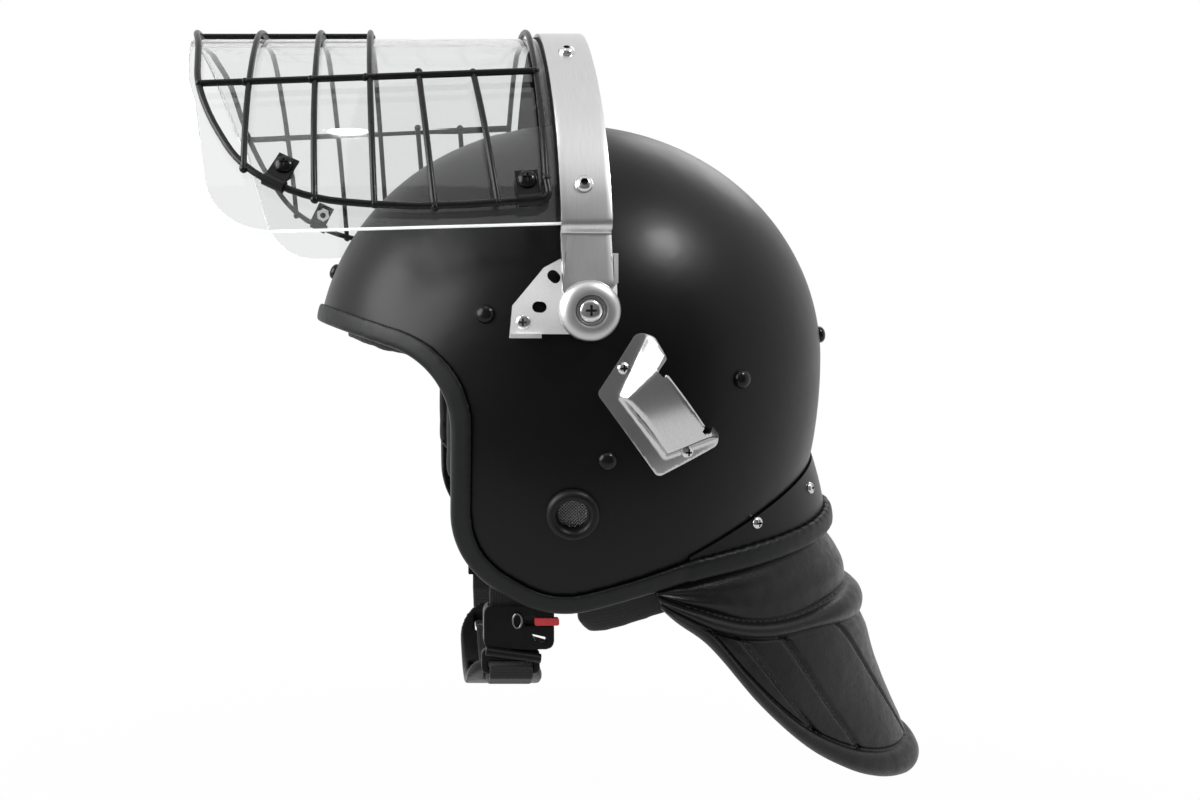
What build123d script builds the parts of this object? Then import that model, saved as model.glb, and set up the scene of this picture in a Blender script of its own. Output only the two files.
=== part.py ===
from build123d import *
import os
from math import acos, atan2, cos, degrees, hypot, radians, sin, sqrt

# Police riot helmet, in millimetres
# The origin is the midpoint of the visor's pivot axis, between the ears.
# +X is the wearer's left, -Y is the face, +Z is up. The visor is modelled raised.

# Driving dimensions of the shell
SHELL_HALF_WIDTH = 116.0
SHELL_HALF_LENGTH = 144.0
SHELL_RISE = 133.5
SHELL_DROP = 200.0
SHELL_CENTRE_Y = 6.0
SHELL_CENTRE_Z = -25.0
SHELL_WALL = 4.5

# Driving dimensions of the rim and its rubber trim
RIM_CORNERS = [(-175, 7.2), (-64, -27.5), (-63.5, -127), (-14, -155.5)]
RIM_CORNERS += [(62, -133), (134, -122), (190, -108)]
RIM_RADII = [42, 45, 50, 120, 120]
TRIM_WIDTH = 10.5
TRIM_PROUD = 2.6
TRIM_COVER = 3.0

# Driving dimensions of the rear flare: its seam runs from the side point up to the back point
SEAM_SIDE = (55.0, -122.0)
SEAM_BACK = (152.0, -75.0)
SEAM_LAP = 12.0
FLARE_SLOPE = 0.66
FLARE_PROUD = 1.2
FLARE_WALL = 3.0
FLARE_SCREWS = [(91.4, -107.0), (130.0, -94.5)]
FLARE_SCREW_R = 3.3
FLARE_SHANK = 5.4
SCREW_R = 1.6

# Driving dimensions of the rivets and the ear grommet, as (y, z) on the side of the shell
RIVETS = [(-47.3, -1.4), (10.6, -71.6), (79.0, -33.3), (144.5, -12.4)]
BROW_RIVET_Z = 24.0
RIVET_R = 4.6
RIVET_RISE = 2.2
RIVET_SHANK_R = 2.0
SEAT_GAP = 0.1
EAR_SPOT = (-5.2, -98.2)
EAR_RIM_R = 12.6
EAR_HOLE_R = 9.4
EAR_MESH_R = 7.2

# Driving dimensions of the visor vault, on its inside at the rear edge
VAULT_CROWN_Z = 154.0
CROWN_R = 82.0
SHOULDER_R = 184.0
SIDE_R = 144.0
CROWN_TURN = 36.0
SHOULDER_TURN = 58.0
SIDE_TURN = 78.0
VAULT_TAPER = 10.0
VAULT_FOOT_Z = 30.0
VISOR_REAR_Y = 12.0
VISOR_FRONT_Y = -215.0
VISOR_WALL = 4.0
VISOR_REACH = 208.0
VISOR_FRONT_R = 272.0
VISOR_EDGE = [(VISOR_REAR_Y, 42), (-178, 37), (-194, 110), (-230, 160), (-230, 200), (VISOR_REAR_Y, 200)]
VISOR_EDGE_RADII = [34, 60]

# Driving dimensions of the arch band and its arms
BAND_FRONT_Y = -12.4
BAND_REAR_Y = 11.6
BAND_WALL = 2.0
GASKET_WALL = 0.7
BAND_LIFT = VISOR_WALL + 0.05 + GASKET_WALL + 0.05
ARM_X = 122.8
ARM_LEAN = 0.255
ARM_FLAT_Z = 12.0
ARM_STEP_Z = 37.5
BAND_END_Z = 41.0
BOLT_HEIGHTS = [58.0, 132.6]
BOLT_Y = -1.0
BOLT_R = 2.4
BOLT_HEAD_R = 4.4
BOLT_HEAD_RISE = 2.9
NUT_R = 4.5
NUT_WALL = 3.1
NUT_GAP = 0.02
SEAL_WALL = 4.0
SEAL_FRONT_Y = 5.5
SEAL_FOOT_Z = 46.0

# Driving dimensions of the pivots and the quadrant plates
PLATE_X = 120.0
PLATE_WALL = 2.0
PLATE_DISH = 0.25
PLATE_FLAT_R = 12.0
PLATE_OUTLINE = [(-36.2, -12.9), (-34.8, 2.6), (-20, 20.6), (-8, 27), (14.1, 27), (14.1, 6), (9, -11)]
PLATE_OUTLINE += [(-21.6, -11), (-21.6, -12.9)]
DOWN_STOP = [(-36.2, -21.6), (-12.9, -10.9), 119.4]
UP_STOP = [(12.1, 14.1), (13.0, 27.0), 121.6]
PIVOT_R = 5.0
PIVOT_GAP = 0.05
BUSH_SHOULDER_R = 8.0
DISC_R = 14.25
DISC_FACE_X = 130.6
PIVOT_END_X = 124.0
DETENT_R = 22.4
DETENT_TURNS = [91.0, 133.6, 175.4]
DETENT_SLOT = (6.8, 5.3)
DETENT_PIN_R = 2.3
PIN_GAP = 0.1
QUADRANT_SCREW = (-29.9, -5.4)
QUADRANT_SHANK = 8.2

# Driving dimensions of the grille
WIRE_R = 1.75
HOOP_WIRE_R = 1.6
WELD_R = 2.1
WELD_STEP = 0.9
WIRE_SIDES = 8
WIRE_LIFT = VISOR_WALL + 3.4
LOWER_WIRE = [(-17.6, 53.0), (-80, 48.6), (-132, 53.2), (-165, 69.0), (-183, 96.0)]
FRONT_WIRE = [(-192.5, 49.0), (-198.5, 36.0), (-203.5, 22.0), (-206.0, 8.0)]
HOOPS = [(-163.7, -168.0), (-129.0, -134.5), (-100.5, -106.6)]
SIDE_BARS = [(-72.0, -79.5), (-42.0, -51.5)]
LONG_WIRE_REAR = (-19.5, 46.0)
LONG_WIRE_FRONT = (-191.0, 49.5)
REAR_HOOP_Y = -19.0
REAR_BEND_Z = 53.0
REAR_BEND_R = 4.0
CHORD_RISE = 0.6
CLIPS = [-148.5, -27.0]
CLIP_PLATE = (11.0, 15.0, 1.2)
CLIP_GAP = 0.2
CLIP_PLAY = 0.25
CLIP_SCREW_UP = 9.0
CLIP_BARREL_R = 3.1
CLIP_BARREL_LENGTH = 11.0
CLIP_HEAD_R = 4.8
CLIP_HEAD_RISE = 2.6
CLIP_HOLE_R = 2.1

# Driving dimensions of the strap hooks
HOOK_BASE = [(5.2, -39.7), (17, -14), (25.5, -10.7), (35, -21), (34, -31), (55, -57.6), (64.5, -60)]
HOOK_BASE += [(61.6, -67), (34, -77.5)]
HOOK_FOOT = [(13.6, -40.9), (33.0, -28.0), (55.5, -57.4), (36.6, -70.1)]
HOOK_TOP = [(18.4, -41.1), (31.6, -31.0), (51.5, -57.1), (37.2, -65.0)]
HOOK_MIDDLE = (35.0, -46.0)
HOOK_WALL = 1.5
HOOK_RISE = 9.5
HOOK_OPEN = 12.0
HOOK_SHANK = 6.2
HOOK_SCREWS = [(17.3, -27.2), (49.3, -67.6)]

# Driving dimensions of the neck guard: height, centre Y, half width, half length
NECK_RINGS = [(-112, 8, 98, 138), (-139, 12, 94, 147), (-165, 20, 90.5, 150), (-198, 32, 87, 153)]
NECK_RINGS += [(-228, 42, 80, 157), (-272, 52, 72, 161)]
LEATHER_WALL = 3.0
NECK_EDGE = [(36, -100), (36, -141), (66, -167.5), (122, -226), (168, -252.5), (196, -258)]
NECK_EDGE += [(260, -258), (260, -100)]
NECK_EDGE_RADII = [8, 60, 60, 60, 60]
WELT_LINE = [(20, -135), (50, -151), (72, -164.5), (98, -169.5), (130, -167), (185, -153)]
WELT_WIDTH = 10.0

# Driving dimensions of the liner and the pads
LINER_WALL = 12.0
LINER_GAP = 0.1
LINER_INSET = 14.5
LINER_FOOT_Z = -96.0
PAD_WALL = 8.0
PAD_GAP = 0.15
BROW_PAD = [(-160, 22), (-160, -60), (-74, -60), (-74, 2), (-100, 22)]
CHEEK_PAD = [(-68, -40), (-68, -84), (-58, -94), (-24, -94), (-14, -80), (-14, -44), (-24, -34)]
CHEEK_PAD += [(-62, -34)]
CROWN_PAD_Z = 48.0
NAPE_PAD = [(2, -96.2), (2, -158), (8, -166), (20, -165), (52, -155), (100, -146), (150, -139)]
NAPE_PAD += [(150, -96.2)]
NAPE_PAD_GAP = 0.2
NAPE_PAD_WALL = 9.0

# Driving dimensions of the chin strap
ANCHOR_Y = -32.0
ANCHOR_Z = -106.0
ANCHOR_PIN_R = 3.0
HANGER_X = 79.5
HANGER_WALL = 1.6
HANGER = [(-40, -98), (-24, -98), (-18, -112), (-18, -126), (-46, -126), (-46, -112)]
STRAP_SLOT_Z = -120.5
STRAP_WIDTH = 22.0
STRAP_WALL = 2.0
UPPER_ROUTE = [(73.6, -138), (77.2, -127), (77.2, -120.4), (83.0, -120.4), (82.2, -126.6), (76.3, -138)]
STRAP_IN_SOCKET = (74.6, -152)
STRAP_DOWN = [(75.0, -152), (75.0, -182), (67.0, -192), (47.0, -197.5)]
STRAP_IN_CUP = [(36.0, -195.5), (20.0, -204.9), (0.0, -208.5)]
STRAP_TO_TONGUE = [(67.0, -193.5), (76.6, -187.5), (77.6, -182.0), (70.2, -182.0), (70.2, -187.6)]
TONGUE_WIDTH = 14.0
TONGUE_DEPTH = 12.0
BUTTON_Z = (-160.5, -156.8)
BUTTON_LENGTH = 12.5
BUTTON_ROOM = 3.0
BUTTON_X = (76.1, 78.9)
BUTTON_PROUD = 2.4
SLIDER_SPOT = (75.0, -166.0)
SOCKET_X = (69.5, 78.0)
SOCKET_Y = (-46.0, -10.0)
SOCKET_Z = (-173.0, -150.5)
CUP_R = 64.0
CUP_FOOT_Z = -214.0
CUP_WALL = 4.0
CUP_WIDTH = 42.0
CUP_HALF = 50.0
CUP_SLOT_X = 41.0
CUP_SLOT_WIDTH = 9.0


def side_prism(points, radii=None):
    """Prism through the whole width from an outline of (y, z) points; radii round its inner corners."""
    if radii is None:
        face = make_face(Polyline(*points, close=True))
    else:
        count = len(radii) + 2
        bent = FilletPolyline(*points[:count], radius=radii)
        rest = Polyline(points[count - 1], *points[count:], points[0])
        face = make_face([*bent.edges(), *rest.edges()])
    return extrude(Plane.YZ * face, amount=150, both=True)


def dome(grow):
    """Solid inside the shell's outer surface, grown outwards by an amount."""
    half_width = SHELL_HALF_WIDTH + grow
    crown = EllipticalCenterArc((0, 0), half_width, SHELL_RISE + grow, start_angle=0, arc_size=90)
    foot = EllipticalCenterArc((0, 0), half_width, SHELL_DROP + grow, start_angle=270, arc_size=90)
    core = Line((0, -SHELL_DROP - grow), (0, SHELL_RISE + grow))
    profile = Plane.XZ * make_face([*crown.edges(), *foot.edges(), *core.edges()])
    stretch = (SHELL_HALF_LENGTH + grow) / half_width
    return Pos(0, SHELL_CENTRE_Y, SHELL_CENTRE_Z) * scale(revolve(profile, axis=Axis.Z), by=(1, stretch, 1))


def on_shell(y, z, x=None, grow=0.0):
    """Plane on the left side of the shell, or at a given x on its front, facing out of the surface."""
    up = SHELL_RISE if z > SHELL_CENTRE_Z else SHELL_DROP
    high = (z - SHELL_CENTRE_Z) / up
    if x is None:
        along = (y - SHELL_CENTRE_Y) / SHELL_HALF_LENGTH
        x = SHELL_HALF_WIDTH * sqrt(1 - along**2 - high**2)
    else:
        along = -sqrt(1 - (x / SHELL_HALF_WIDTH) ** 2 - high**2)
        y = SHELL_CENTRE_Y + SHELL_HALF_LENGTH * along
    normal = Vector(x / SHELL_HALF_WIDTH**2, along / SHELL_HALF_LENGTH, high / up).normalized()
    return Plane(origin=Vector(x, y, z) + normal * grow, z_dir=normal)


def rim_prism(inset):
    """Everything above the rim line, with the line moved inwards by an inset."""
    low = FilletPolyline(*RIM_CORNERS, radius=RIM_RADII)
    lid = Polyline(RIM_CORNERS[-1], (190, 200), (-175, 200), RIM_CORNERS[0])
    face = make_face([*low.edges(), *lid.edges()])
    if inset:
        face = offset(face, amount=-inset)
    return extrude(Plane.YZ * face, amount=150, both=True)


def flared(solid):
    """Shear backwards everything below the seam's plane, which itself stays in place."""
    rise = atan2(SEAM_BACK[1] - SEAM_SIDE[1], SEAM_BACK[0] - SEAM_SIDE[0])
    per_y = FLARE_SLOPE * sin(rise)
    per_z = -FLARE_SLOPE * cos(rise)
    shift = -per_y * SEAM_SIDE[0] - per_z * SEAM_SIDE[1]
    shear = Matrix([[1, 0, 0, 0], [0, 1 + per_y, per_z, shift], [0, 0, 1, 0]])
    return solid.transform_geometry(shear)


def on_flare(y, z):
    """Plane on the left side of the flare, facing out: the shell's plane, sheared with it."""
    rise = atan2(SEAM_BACK[1] - SEAM_SIDE[1], SEAM_BACK[0] - SEAM_SIDE[0])
    per_y = FLARE_SLOPE * sin(rise)
    per_z = -FLARE_SLOPE * cos(rise)
    shift = -per_y * SEAM_SIDE[0] - per_z * SEAM_SIDE[1]
    spot = on_shell((y - per_z * z - shift) / (1 + per_y), z, grow=FLARE_PROUD)
    flat = spot.z_dir
    before = spot.origin
    origin = Vector(before.X, (1 + per_y) * before.Y + per_z * before.Z + shift, before.Z)
    normal = Vector(flat.X, flat.Y / (1 + per_y), flat.Z - per_z * flat.Y / (1 + per_y)).normalized()
    return Plane(origin=origin + normal * SEAT_GAP, z_dir=normal)


def below_seam(drop):
    """Everything behind the ears and below the seam, with the seam lowered by a drop."""
    side_y, side_z = SEAM_SIDE
    back_y, back_z = SEAM_BACK
    slope = (back_z - side_z) / (back_y - side_y)
    far_z = back_z - drop + slope * (200 - back_y)
    return side_prism([(side_y, side_z - drop), (200, far_z), (200, -230), (side_y, -230)])


def both_sides(*solids):
    """Solids of the left side and their mirror images, as one group."""
    lefts = [part for solid in solids for part in solid.solids()]
    rights = [part for left in lefts for part in mirror(left, about=Plane.YZ).solids()]
    return Compound(children=lefts + rights)


def rod_x(radius, x_from, x_to, y=0.0, z=0.0):
    """Cylinder along X between two stations."""
    middle = (x_from + x_to) / 2
    return Pos(middle, y, z) * Rot(0, 90, 0) * Cylinder(radius, abs(x_to - x_from))


def pan_head(radius, rise):
    """Low head on a flat base at z = 0, with one broad chamfer for its round shoulder."""
    shoulder = [(radius * 0.92, rise * 0.55), (radius * 0.5, rise)]
    profile = Polyline((0, 0), (radius, 0), *shoulder, (0, rise), close=True)
    return revolve(Plane.XZ * make_face(profile), axis=Axis.Z)


def cross_recess(width, depth):
    """Cross-shaped recess below z = 0."""
    bar = Box(width, width / 4, depth * 2)
    return bar + Rot(0, 0, 90) * bar


def save(name, shape):
    """Write one sub-part."""
    export_step(shape, f"parts/{name}.step")


# Vault of the visor: three tangent arcs a side, given by how far the surface has turned from the crown

def vault_arcs(y):
    """Centres and radii of the crown, shoulder and side arcs at one station along Y."""
    crown_r = CROWN_R - VAULT_TAPER * (VISOR_REAR_Y - y) / (VISOR_REAR_Y - VISOR_FRONT_Y)
    crown = (0.0, VAULT_CROWN_Z - crown_r, crown_r)
    arcs = [crown]
    for turn, radius in ((CROWN_TURN, SHOULDER_R), (SHOULDER_TURN, SIDE_R)):
        x, z, old = arcs[-1]
        step = old - radius
        arcs.append((x + step * sin(radians(turn)), z + step * cos(radians(turn)), radius))
    return arcs


def vault_point(y, turn, lift):
    """Point of the vault, lifted off its inner surface, as (x, z)."""
    arcs = vault_arcs(y)
    which = 0 if turn <= CROWN_TURN else 1 if turn <= SHOULDER_TURN else 2
    x, z, radius = arcs[which]
    reach = radius + lift
    return x + reach * sin(radians(turn)), z + reach * cos(radians(turn))


def vault_at_height(y, height, lift):
    """x and turn of the left side of the vault at a height."""
    limits = (CROWN_TURN, SHOULDER_TURN, SIDE_TURN)
    for (x, z, radius), limit in zip(vault_arcs(y), limits):
        reach = radius + lift
        if height >= z + reach * cos(radians(limit)):
            turn = degrees(acos(min(1.0, (height - z) / reach)))
            return x + reach * sin(radians(turn)), turn
    end_x, end_z = vault_point(y, SIDE_TURN, lift)
    slope = cos(radians(SIDE_TURN)) / sin(radians(SIDE_TURN))
    return end_x + (end_z - height) * slope, SIDE_TURN


def vault_edges(y, lift, top_turn, foot_z):
    """Edges down the left side, from a turn to a foot height, in the plane's own (x, z)."""
    foot_x, foot_turn = vault_at_height(y, foot_z, lift)
    edges = []
    start = top_turn
    for (x, z, radius), limit in zip(vault_arcs(y), (CROWN_TURN, SHOULDER_TURN, SIDE_TURN)):
        stop = min(limit, foot_turn)
        if start < stop:
            edges.append(CenterArc((x, z), radius + lift, 90 - start, start - stop))
            start = stop
    end = vault_point(y, SIDE_TURN, lift)
    if end[1] - foot_z > 0.01:
        edges.append(Line(end, (foot_x, foot_z)))
    return edges


def vault_face(y, low, high, foot_z=VAULT_FOOT_Z):
    """Section of a sheet that follows the vault, from one lift to another."""
    halves = []
    for lift in (high, low):
        left = [edge.edge() for edge in vault_edges(y, lift, 0, foot_z)]
        right = [mirror(edge, about=Plane.YZ) for edge in left]
        halves += left + right
    inner_x = vault_at_height(y, foot_z, low)[0]
    outer_x = vault_at_height(y, foot_z, high)[0]
    halves += [Line((inner_x, foot_z), (outer_x, foot_z)), Line((-inner_x, foot_z), (-outer_x, foot_z))]
    flat = make_face([edge.edge() for edge in halves])
    return Plane(origin=(0, y, 0), x_dir=(1, 0, 0), z_dir=(0, -1, 0)) * flat


def vault_sheet(rear_y, front_y, low, high, foot_z=VAULT_FOOT_Z):
    """Sheet that follows the vault between two stations along Y."""
    return loft([vault_face(rear_y, low, high, foot_z), vault_face(front_y, low, high, foot_z)], ruled=True)


def on_vault(y, z, lift):
    """Plane at a height on the left side of the lifted vault, facing out, its x axis to the back."""
    x, turn = vault_at_height(y, z, lift)
    spread = cos(radians(turn - CROWN_TURN)) - cos(radians(turn))
    lean = spread * VAULT_TAPER / (VISOR_REAR_Y - VISOR_FRONT_Y)
    across = sin(radians(turn))
    up = cos(radians(turn))
    return Plane(origin=(x, y, z), x_dir=(lean * across, 1, lean * up), z_dir=(across, -lean, up))


# Outer shell with its holes, and the strip that flares out at the back

def shell_holes(clearance):
    """Left-side holes for the pivot bush, the ear grommet, rivets and screws."""
    holes = rod_x(PIVOT_R + clearance, 95, 125)
    holes += on_shell(*EAR_SPOT) * Cylinder(EAR_HOLE_R, 40)
    for spot in RIVETS:
        holes += on_shell(*spot) * Cylinder(RIVET_SHANK_R + clearance, 30)
    for spot in HOOK_SCREWS:
        holes += on_shell(*spot) * Cylinder(SCREW_R + clearance, 30)
    for spot in FLARE_SCREWS:
        holes += on_flare(*spot) * Cylinder(SCREW_R + clearance, 30)
    holes += on_plate(*QUADRANT_SCREW) * Cylinder(SCREW_R + clearance, 40)
    return holes


def make_shell():
    shell = (dome(0) - dome(-SHELL_WALL)) & rim_prism(TRIM_COVER)
    shell -= below_seam(SEAM_LAP)
    holes = shell_holes(PIVOT_GAP)
    shell -= holes
    shell -= mirror(holes, about=Plane.YZ)
    return shell - on_shell(0, BROW_RIVET_Z, x=0.0) * Cylinder(RIVET_SHANK_R + PIVOT_GAP, 30)


def flare_sheet(outside, inside):
    """Sheet between two growths of the flared dome, behind the ears."""
    return flared(dome(outside)) - flared(dome(inside))


def make_flare_blank():
    """The flare before its holes are drilled."""
    sheet = flare_sheet(FLARE_PROUD, FLARE_PROUD - FLARE_WALL) - dome(0.1)
    return sheet & rim_prism(TRIM_COVER) & below_seam(0)


def make_flare():
    holes = [on_flare(*spot) * Cylinder(SCREW_R + PIVOT_GAP, 30) for spot in FLARE_SCREWS]
    return make_flare_blank() - both_sides(*holes)


def make_trim():
    behind = side_prism([(SEAM_SIDE[0], -230), (SEAM_SIDE[0], -60), (200, -60), (200, -230)])
    outside = dome(TRIM_PROUD) + (flared(dome(TRIM_PROUD + FLARE_PROUD / 2)) & behind)
    inside = dome(-SHELL_WALL - TRIM_PROUD) + (flared(dome(FLARE_PROUD - FLARE_WALL - TRIM_PROUD)) & behind)
    band = (outside - inside) & (rim_prism(0) - rim_prism(TRIM_WIDTH))
    return band - make_shell_blank() - make_flare_blank()


def make_shell_blank():
    """The shell before its holes are drilled."""
    return ((dome(0) - dome(-SHELL_WALL)) & rim_prism(TRIM_COVER)) - below_seam(SEAM_LAP)


def make_rivets():
    rivet = pan_head(RIVET_R, RIVET_RISE)
    rivet += Pos(0, 0, -SHELL_WALL / 2) * Cylinder(RIVET_SHANK_R, SHELL_WALL)
    sides = [on_shell(*spot, grow=0.1) * rivet for spot in RIVETS]
    brow = on_shell(0, BROW_RIVET_Z, x=0.0, grow=0.1) * rivet
    return Compound(children=[*both_sides(*sides).solids(), *brow.solids()])


def make_flare_screws():
    screw = pan_head(FLARE_SCREW_R, 1.8)
    screw += Pos(0, 0, -FLARE_SHANK / 2) * Cylinder(SCREW_R, FLARE_SHANK)
    return both_sides(*[on_flare(y, z) * screw for y, z in FLARE_SCREWS])


def make_grommets():
    lip = [(EAR_MESH_R, 2.0), (EAR_MESH_R + 1.6, 3.4), (EAR_RIM_R - 1.9, 2.8), (EAR_RIM_R, 0.2)]
    neck = [(EAR_HOLE_R - 0.1, 0.2), (EAR_HOLE_R - 0.1, -5.6), (EAR_MESH_R, -5.6)]
    ring = revolve(Plane.XZ * make_face(Polyline(*lip, *neck, close=True)), axis=Axis.Z)
    return both_sides(on_shell(*EAR_SPOT) * ring)


def make_meshes():
    disc = Pos(0, 0, -0.8) * Cylinder(EAR_MESH_R - 0.02, 0.8)
    return both_sides(on_shell(*EAR_SPOT) * disc)


# Visor: arch band, shield, seals and fasteners

def bolt_spots(lift):
    """Left-side places of the arch bolts, each lifted along its own axis."""
    return [on_vault(BOLT_Y, z, 0) * Pos(0, 0, lift) for z in BOLT_HEIGHTS]


def bolt_holes():
    """Bolt holes through the band, the gasket and the shield."""
    return both_sides(*[spot * Cylinder(BOLT_R + PIVOT_GAP, 30) for spot in bolt_spots(0)])


def make_arch():
    band = vault_sheet(BAND_REAR_Y, BAND_FRONT_Y, BAND_LIFT, BAND_LIFT + BAND_WALL, BAND_END_Z)
    middle_lift = BAND_LIFT + BAND_WALL / 2
    top = (vault_at_height(0, BAND_END_Z, middle_lift)[0], BAND_END_Z)
    step = (ARM_X - ARM_LEAN * (ARM_STEP_Z - ARM_FLAT_Z), ARM_STEP_Z)
    path = Polyline(top, step, (ARM_X, ARM_FLAT_Z), (ARM_X, -DISC_R))
    strip = Plane.XZ * trace(path.edges(), line_width=BAND_WALL)
    depth = BAND_REAR_Y - BAND_FRONT_Y
    middle_y = (BAND_REAR_Y + BAND_FRONT_Y) / 2
    arm = Pos(0, BAND_REAR_Y, 0) * extrude(strip, amount=depth)
    arm &= rod_x(depth / 2, 100, 140, middle_y, 0) + Pos(120, middle_y, 50) * Box(40, depth + 1, 100)
    arm -= rod_x(PIVOT_R + PIVOT_GAP, 110, 130)
    return band + arm + mirror(arm, about=Plane.YZ) - bolt_holes()


def make_gasket():
    low = VISOR_WALL + PIVOT_GAP
    strip = vault_sheet(BAND_REAR_Y - 1, BAND_FRONT_Y - 1.2, low, low + GASKET_WALL, BAND_END_Z + 4)
    return strip - bolt_holes()


def make_shield():
    sheet = vault_sheet(VISOR_REAR_Y, VISOR_FRONT_Y, 0, VISOR_WALL)
    sheet &= side_prism(VISOR_EDGE, VISOR_EDGE_RADII)
    sheet &= Pos(0, VISOR_FRONT_R - VISOR_REACH, 100) * Cylinder(VISOR_FRONT_R, 300)
    screw_holes = [spot * Cylinder(CLIP_HOLE_R, 30) for spot in clip_screw_spots()]
    return sheet - bolt_holes() - both_sides(*screw_holes)


def make_brow_seal():
    return vault_sheet(VISOR_REAR_Y + 1, SEAL_FRONT_Y, -SEAL_WALL, -PIVOT_GAP, SEAL_FOOT_Z)


def make_bolts():
    head = pan_head(BOLT_HEAD_R, BOLT_HEAD_RISE)
    head -= Pos(0, 0, BOLT_HEAD_RISE) * extrude(RegularPolygon(1.7, 6), amount=1.7, both=True)
    shank = BAND_LIFT + BAND_WALL + 4.5
    bolt = head + Pos(0, 0, -shank / 2) * Cylinder(BOLT_R, shank)
    return both_sides(*[spot * bolt for spot in bolt_spots(BAND_LIFT + BAND_WALL + SEAT_GAP)])


def hex_nut(bore):
    """Nut that hangs below z = 0."""
    return extrude(RegularPolygon(NUT_R, 6) - Circle(bore), amount=-NUT_WALL)


def make_nuts():
    return both_sides(*[spot * hex_nut(BOLT_R + NUT_GAP) for spot in bolt_spots(-SEAT_GAP)])


# Wire grille: welded wires bent to the vault

def wire(path, section):
    """Wire of one section swept along a path."""
    return sweep(Plane(origin=path @ 0, z_dir=path % 0) * section, path=path)


def vault_spot(y, z, lift=WIRE_LIFT):
    """3-D point on the left side of the vault."""
    return (vault_at_height(y, z, lift)[0], y, z)


def wire_plane(y):
    """Plane on the centre of the left lower wire at a station: x along the wire, z off the vault."""
    for near, far in zip(LOWER_WIRE, LOWER_WIRE[1:]):
        if far[0] <= y <= near[0]:
            start = Vector(*vault_spot(*near))
            along = Vector(*vault_spot(*far)) - start
            middle = start + along * ((y - near[0]) / (far[0] - near[0]))
    back = along.normalized() * -1
    out = on_vault(y, middle.Z, WIRE_LIFT).z_dir
    return Plane(origin=middle, x_dir=back, z_dir=out - back * out.dot(back))


def lower_wire_z(y):
    """Height of the lower wire at a station."""
    return wire_plane(y).origin.Z


def vault_wire(low_y, top_y, top_turn, foot_z):
    """Bent wire in a plane that leans from the feet's y to the top's: a whole hoop, or a left side bar."""
    station = (low_y + top_y) / 2
    top_z = vault_point(station, top_turn, WIRE_LIFT)[1]
    lean = atan2(low_y - top_y, top_z - foot_z)
    leaning = Plane(origin=(0, low_y, foot_z), x_dir=(1, 0, 0), z_dir=(0, -cos(lean), -sin(lean)))
    edges = [edge.edge() for edge in vault_edges(station, WIRE_LIFT, top_turn, foot_z)]
    if top_turn == 0:
        edges += [mirror(edge, about=Plane.YZ).edge() for edge in edges]
    path = leaning * Pos(0, -foot_z) * Curve(Wire(edges).edges())
    return wire(Wire(path.edges()), RegularPolygon(HOOP_WIRE_R, WIRE_SIDES))


def bend_radii(points):
    """The largest bend at each inner corner of a route that leaves its runs a straight middle."""
    radii = []
    for before, here, after in zip(points, points[1:], points[2:]):
        into = Vector(*here) - Vector(*before)
        out = Vector(*after) - Vector(*here)
        half_turn = radians(into.get_angle(out) / 2)
        radii.append(0.45 * min(into.length, out.length) * cos(half_turn) / sin(half_turn))
    return radii


def make_edge_wire():
    """Wire round the edge: down from the rear hoop, along one side, across the front and back."""
    lift = WIRE_LIFT + CHORD_RISE
    left = [vault_spot(REAR_HOOP_Y, REAR_BEND_Z + 10)]
    left += [vault_spot(y, z) for y, z in LOWER_WIRE]
    for y, turn in FRONT_WIRE:
        x, z = vault_point(y, turn, lift)
        left.append((x, y, z))
    right = [(-x, y, z) for x, y, z in reversed(left)]
    radii = bend_radii(left + right)
    radii[0] = REAR_BEND_R
    radii[-1] = REAR_BEND_R
    welds = Pos(*left[0]) * Sphere(WELD_R) + Pos(*right[-1]) * Sphere(WELD_R)
    return wire(FilletPolyline(*left, *right, radius=radii), Circle(WIRE_R)) + welds


def make_grille():
    hoops = vault_wire(REAR_HOOP_Y, REAR_HOOP_Y, 0, REAR_BEND_Z + 10)
    for low_y, top_y in HOOPS:
        hoops += vault_wire(low_y, top_y, 0, lower_wire_z(low_y))
    left = [vault_wire(low_y, top_y, LONG_WIRE_REAR[1], lower_wire_z(low_y)) for low_y, top_y in SIDE_BARS]
    rear_x, rear_z = vault_point(*LONG_WIRE_REAR, WIRE_LIFT + WELD_STEP)
    front_x, front_z = vault_point(*LONG_WIRE_FRONT, WIRE_LIFT + WELD_STEP)
    long_line = Line((rear_x, LONG_WIRE_REAR[0], rear_z), (front_x, LONG_WIRE_FRONT[0], front_z))
    long_section = RegularPolygon(WIRE_R, WIRE_SIDES)
    left.append(wire(long_line, long_section))
    crown_z = VAULT_CROWN_Z + WIRE_LIFT + WELD_STEP
    crown = wire(Line((0, HOOPS[-1][1], crown_z), (0, FRONT_WIRE[-1][0], crown_z)), long_section)
    for bar in left:
        hoops += bar + mirror(bar, about=Plane.YZ)
    return hoops + crown + make_edge_wire()


def clip_screw_spots():
    """Left-side planes of the clip screws, on the vault's inner surface above the wire."""
    spots = []
    for y in CLIPS:
        clipped = wire_plane(y)
        near = clipped.origin + clipped.y_dir * CLIP_SCREW_UP
        surface = on_vault(near.Y, near.Z, 0)
        along = clipped.x_dir - surface.z_dir * surface.z_dir.dot(clipped.x_dir)
        spots.append(Plane(origin=surface.origin, x_dir=along, z_dir=surface.z_dir))
    return spots


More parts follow.
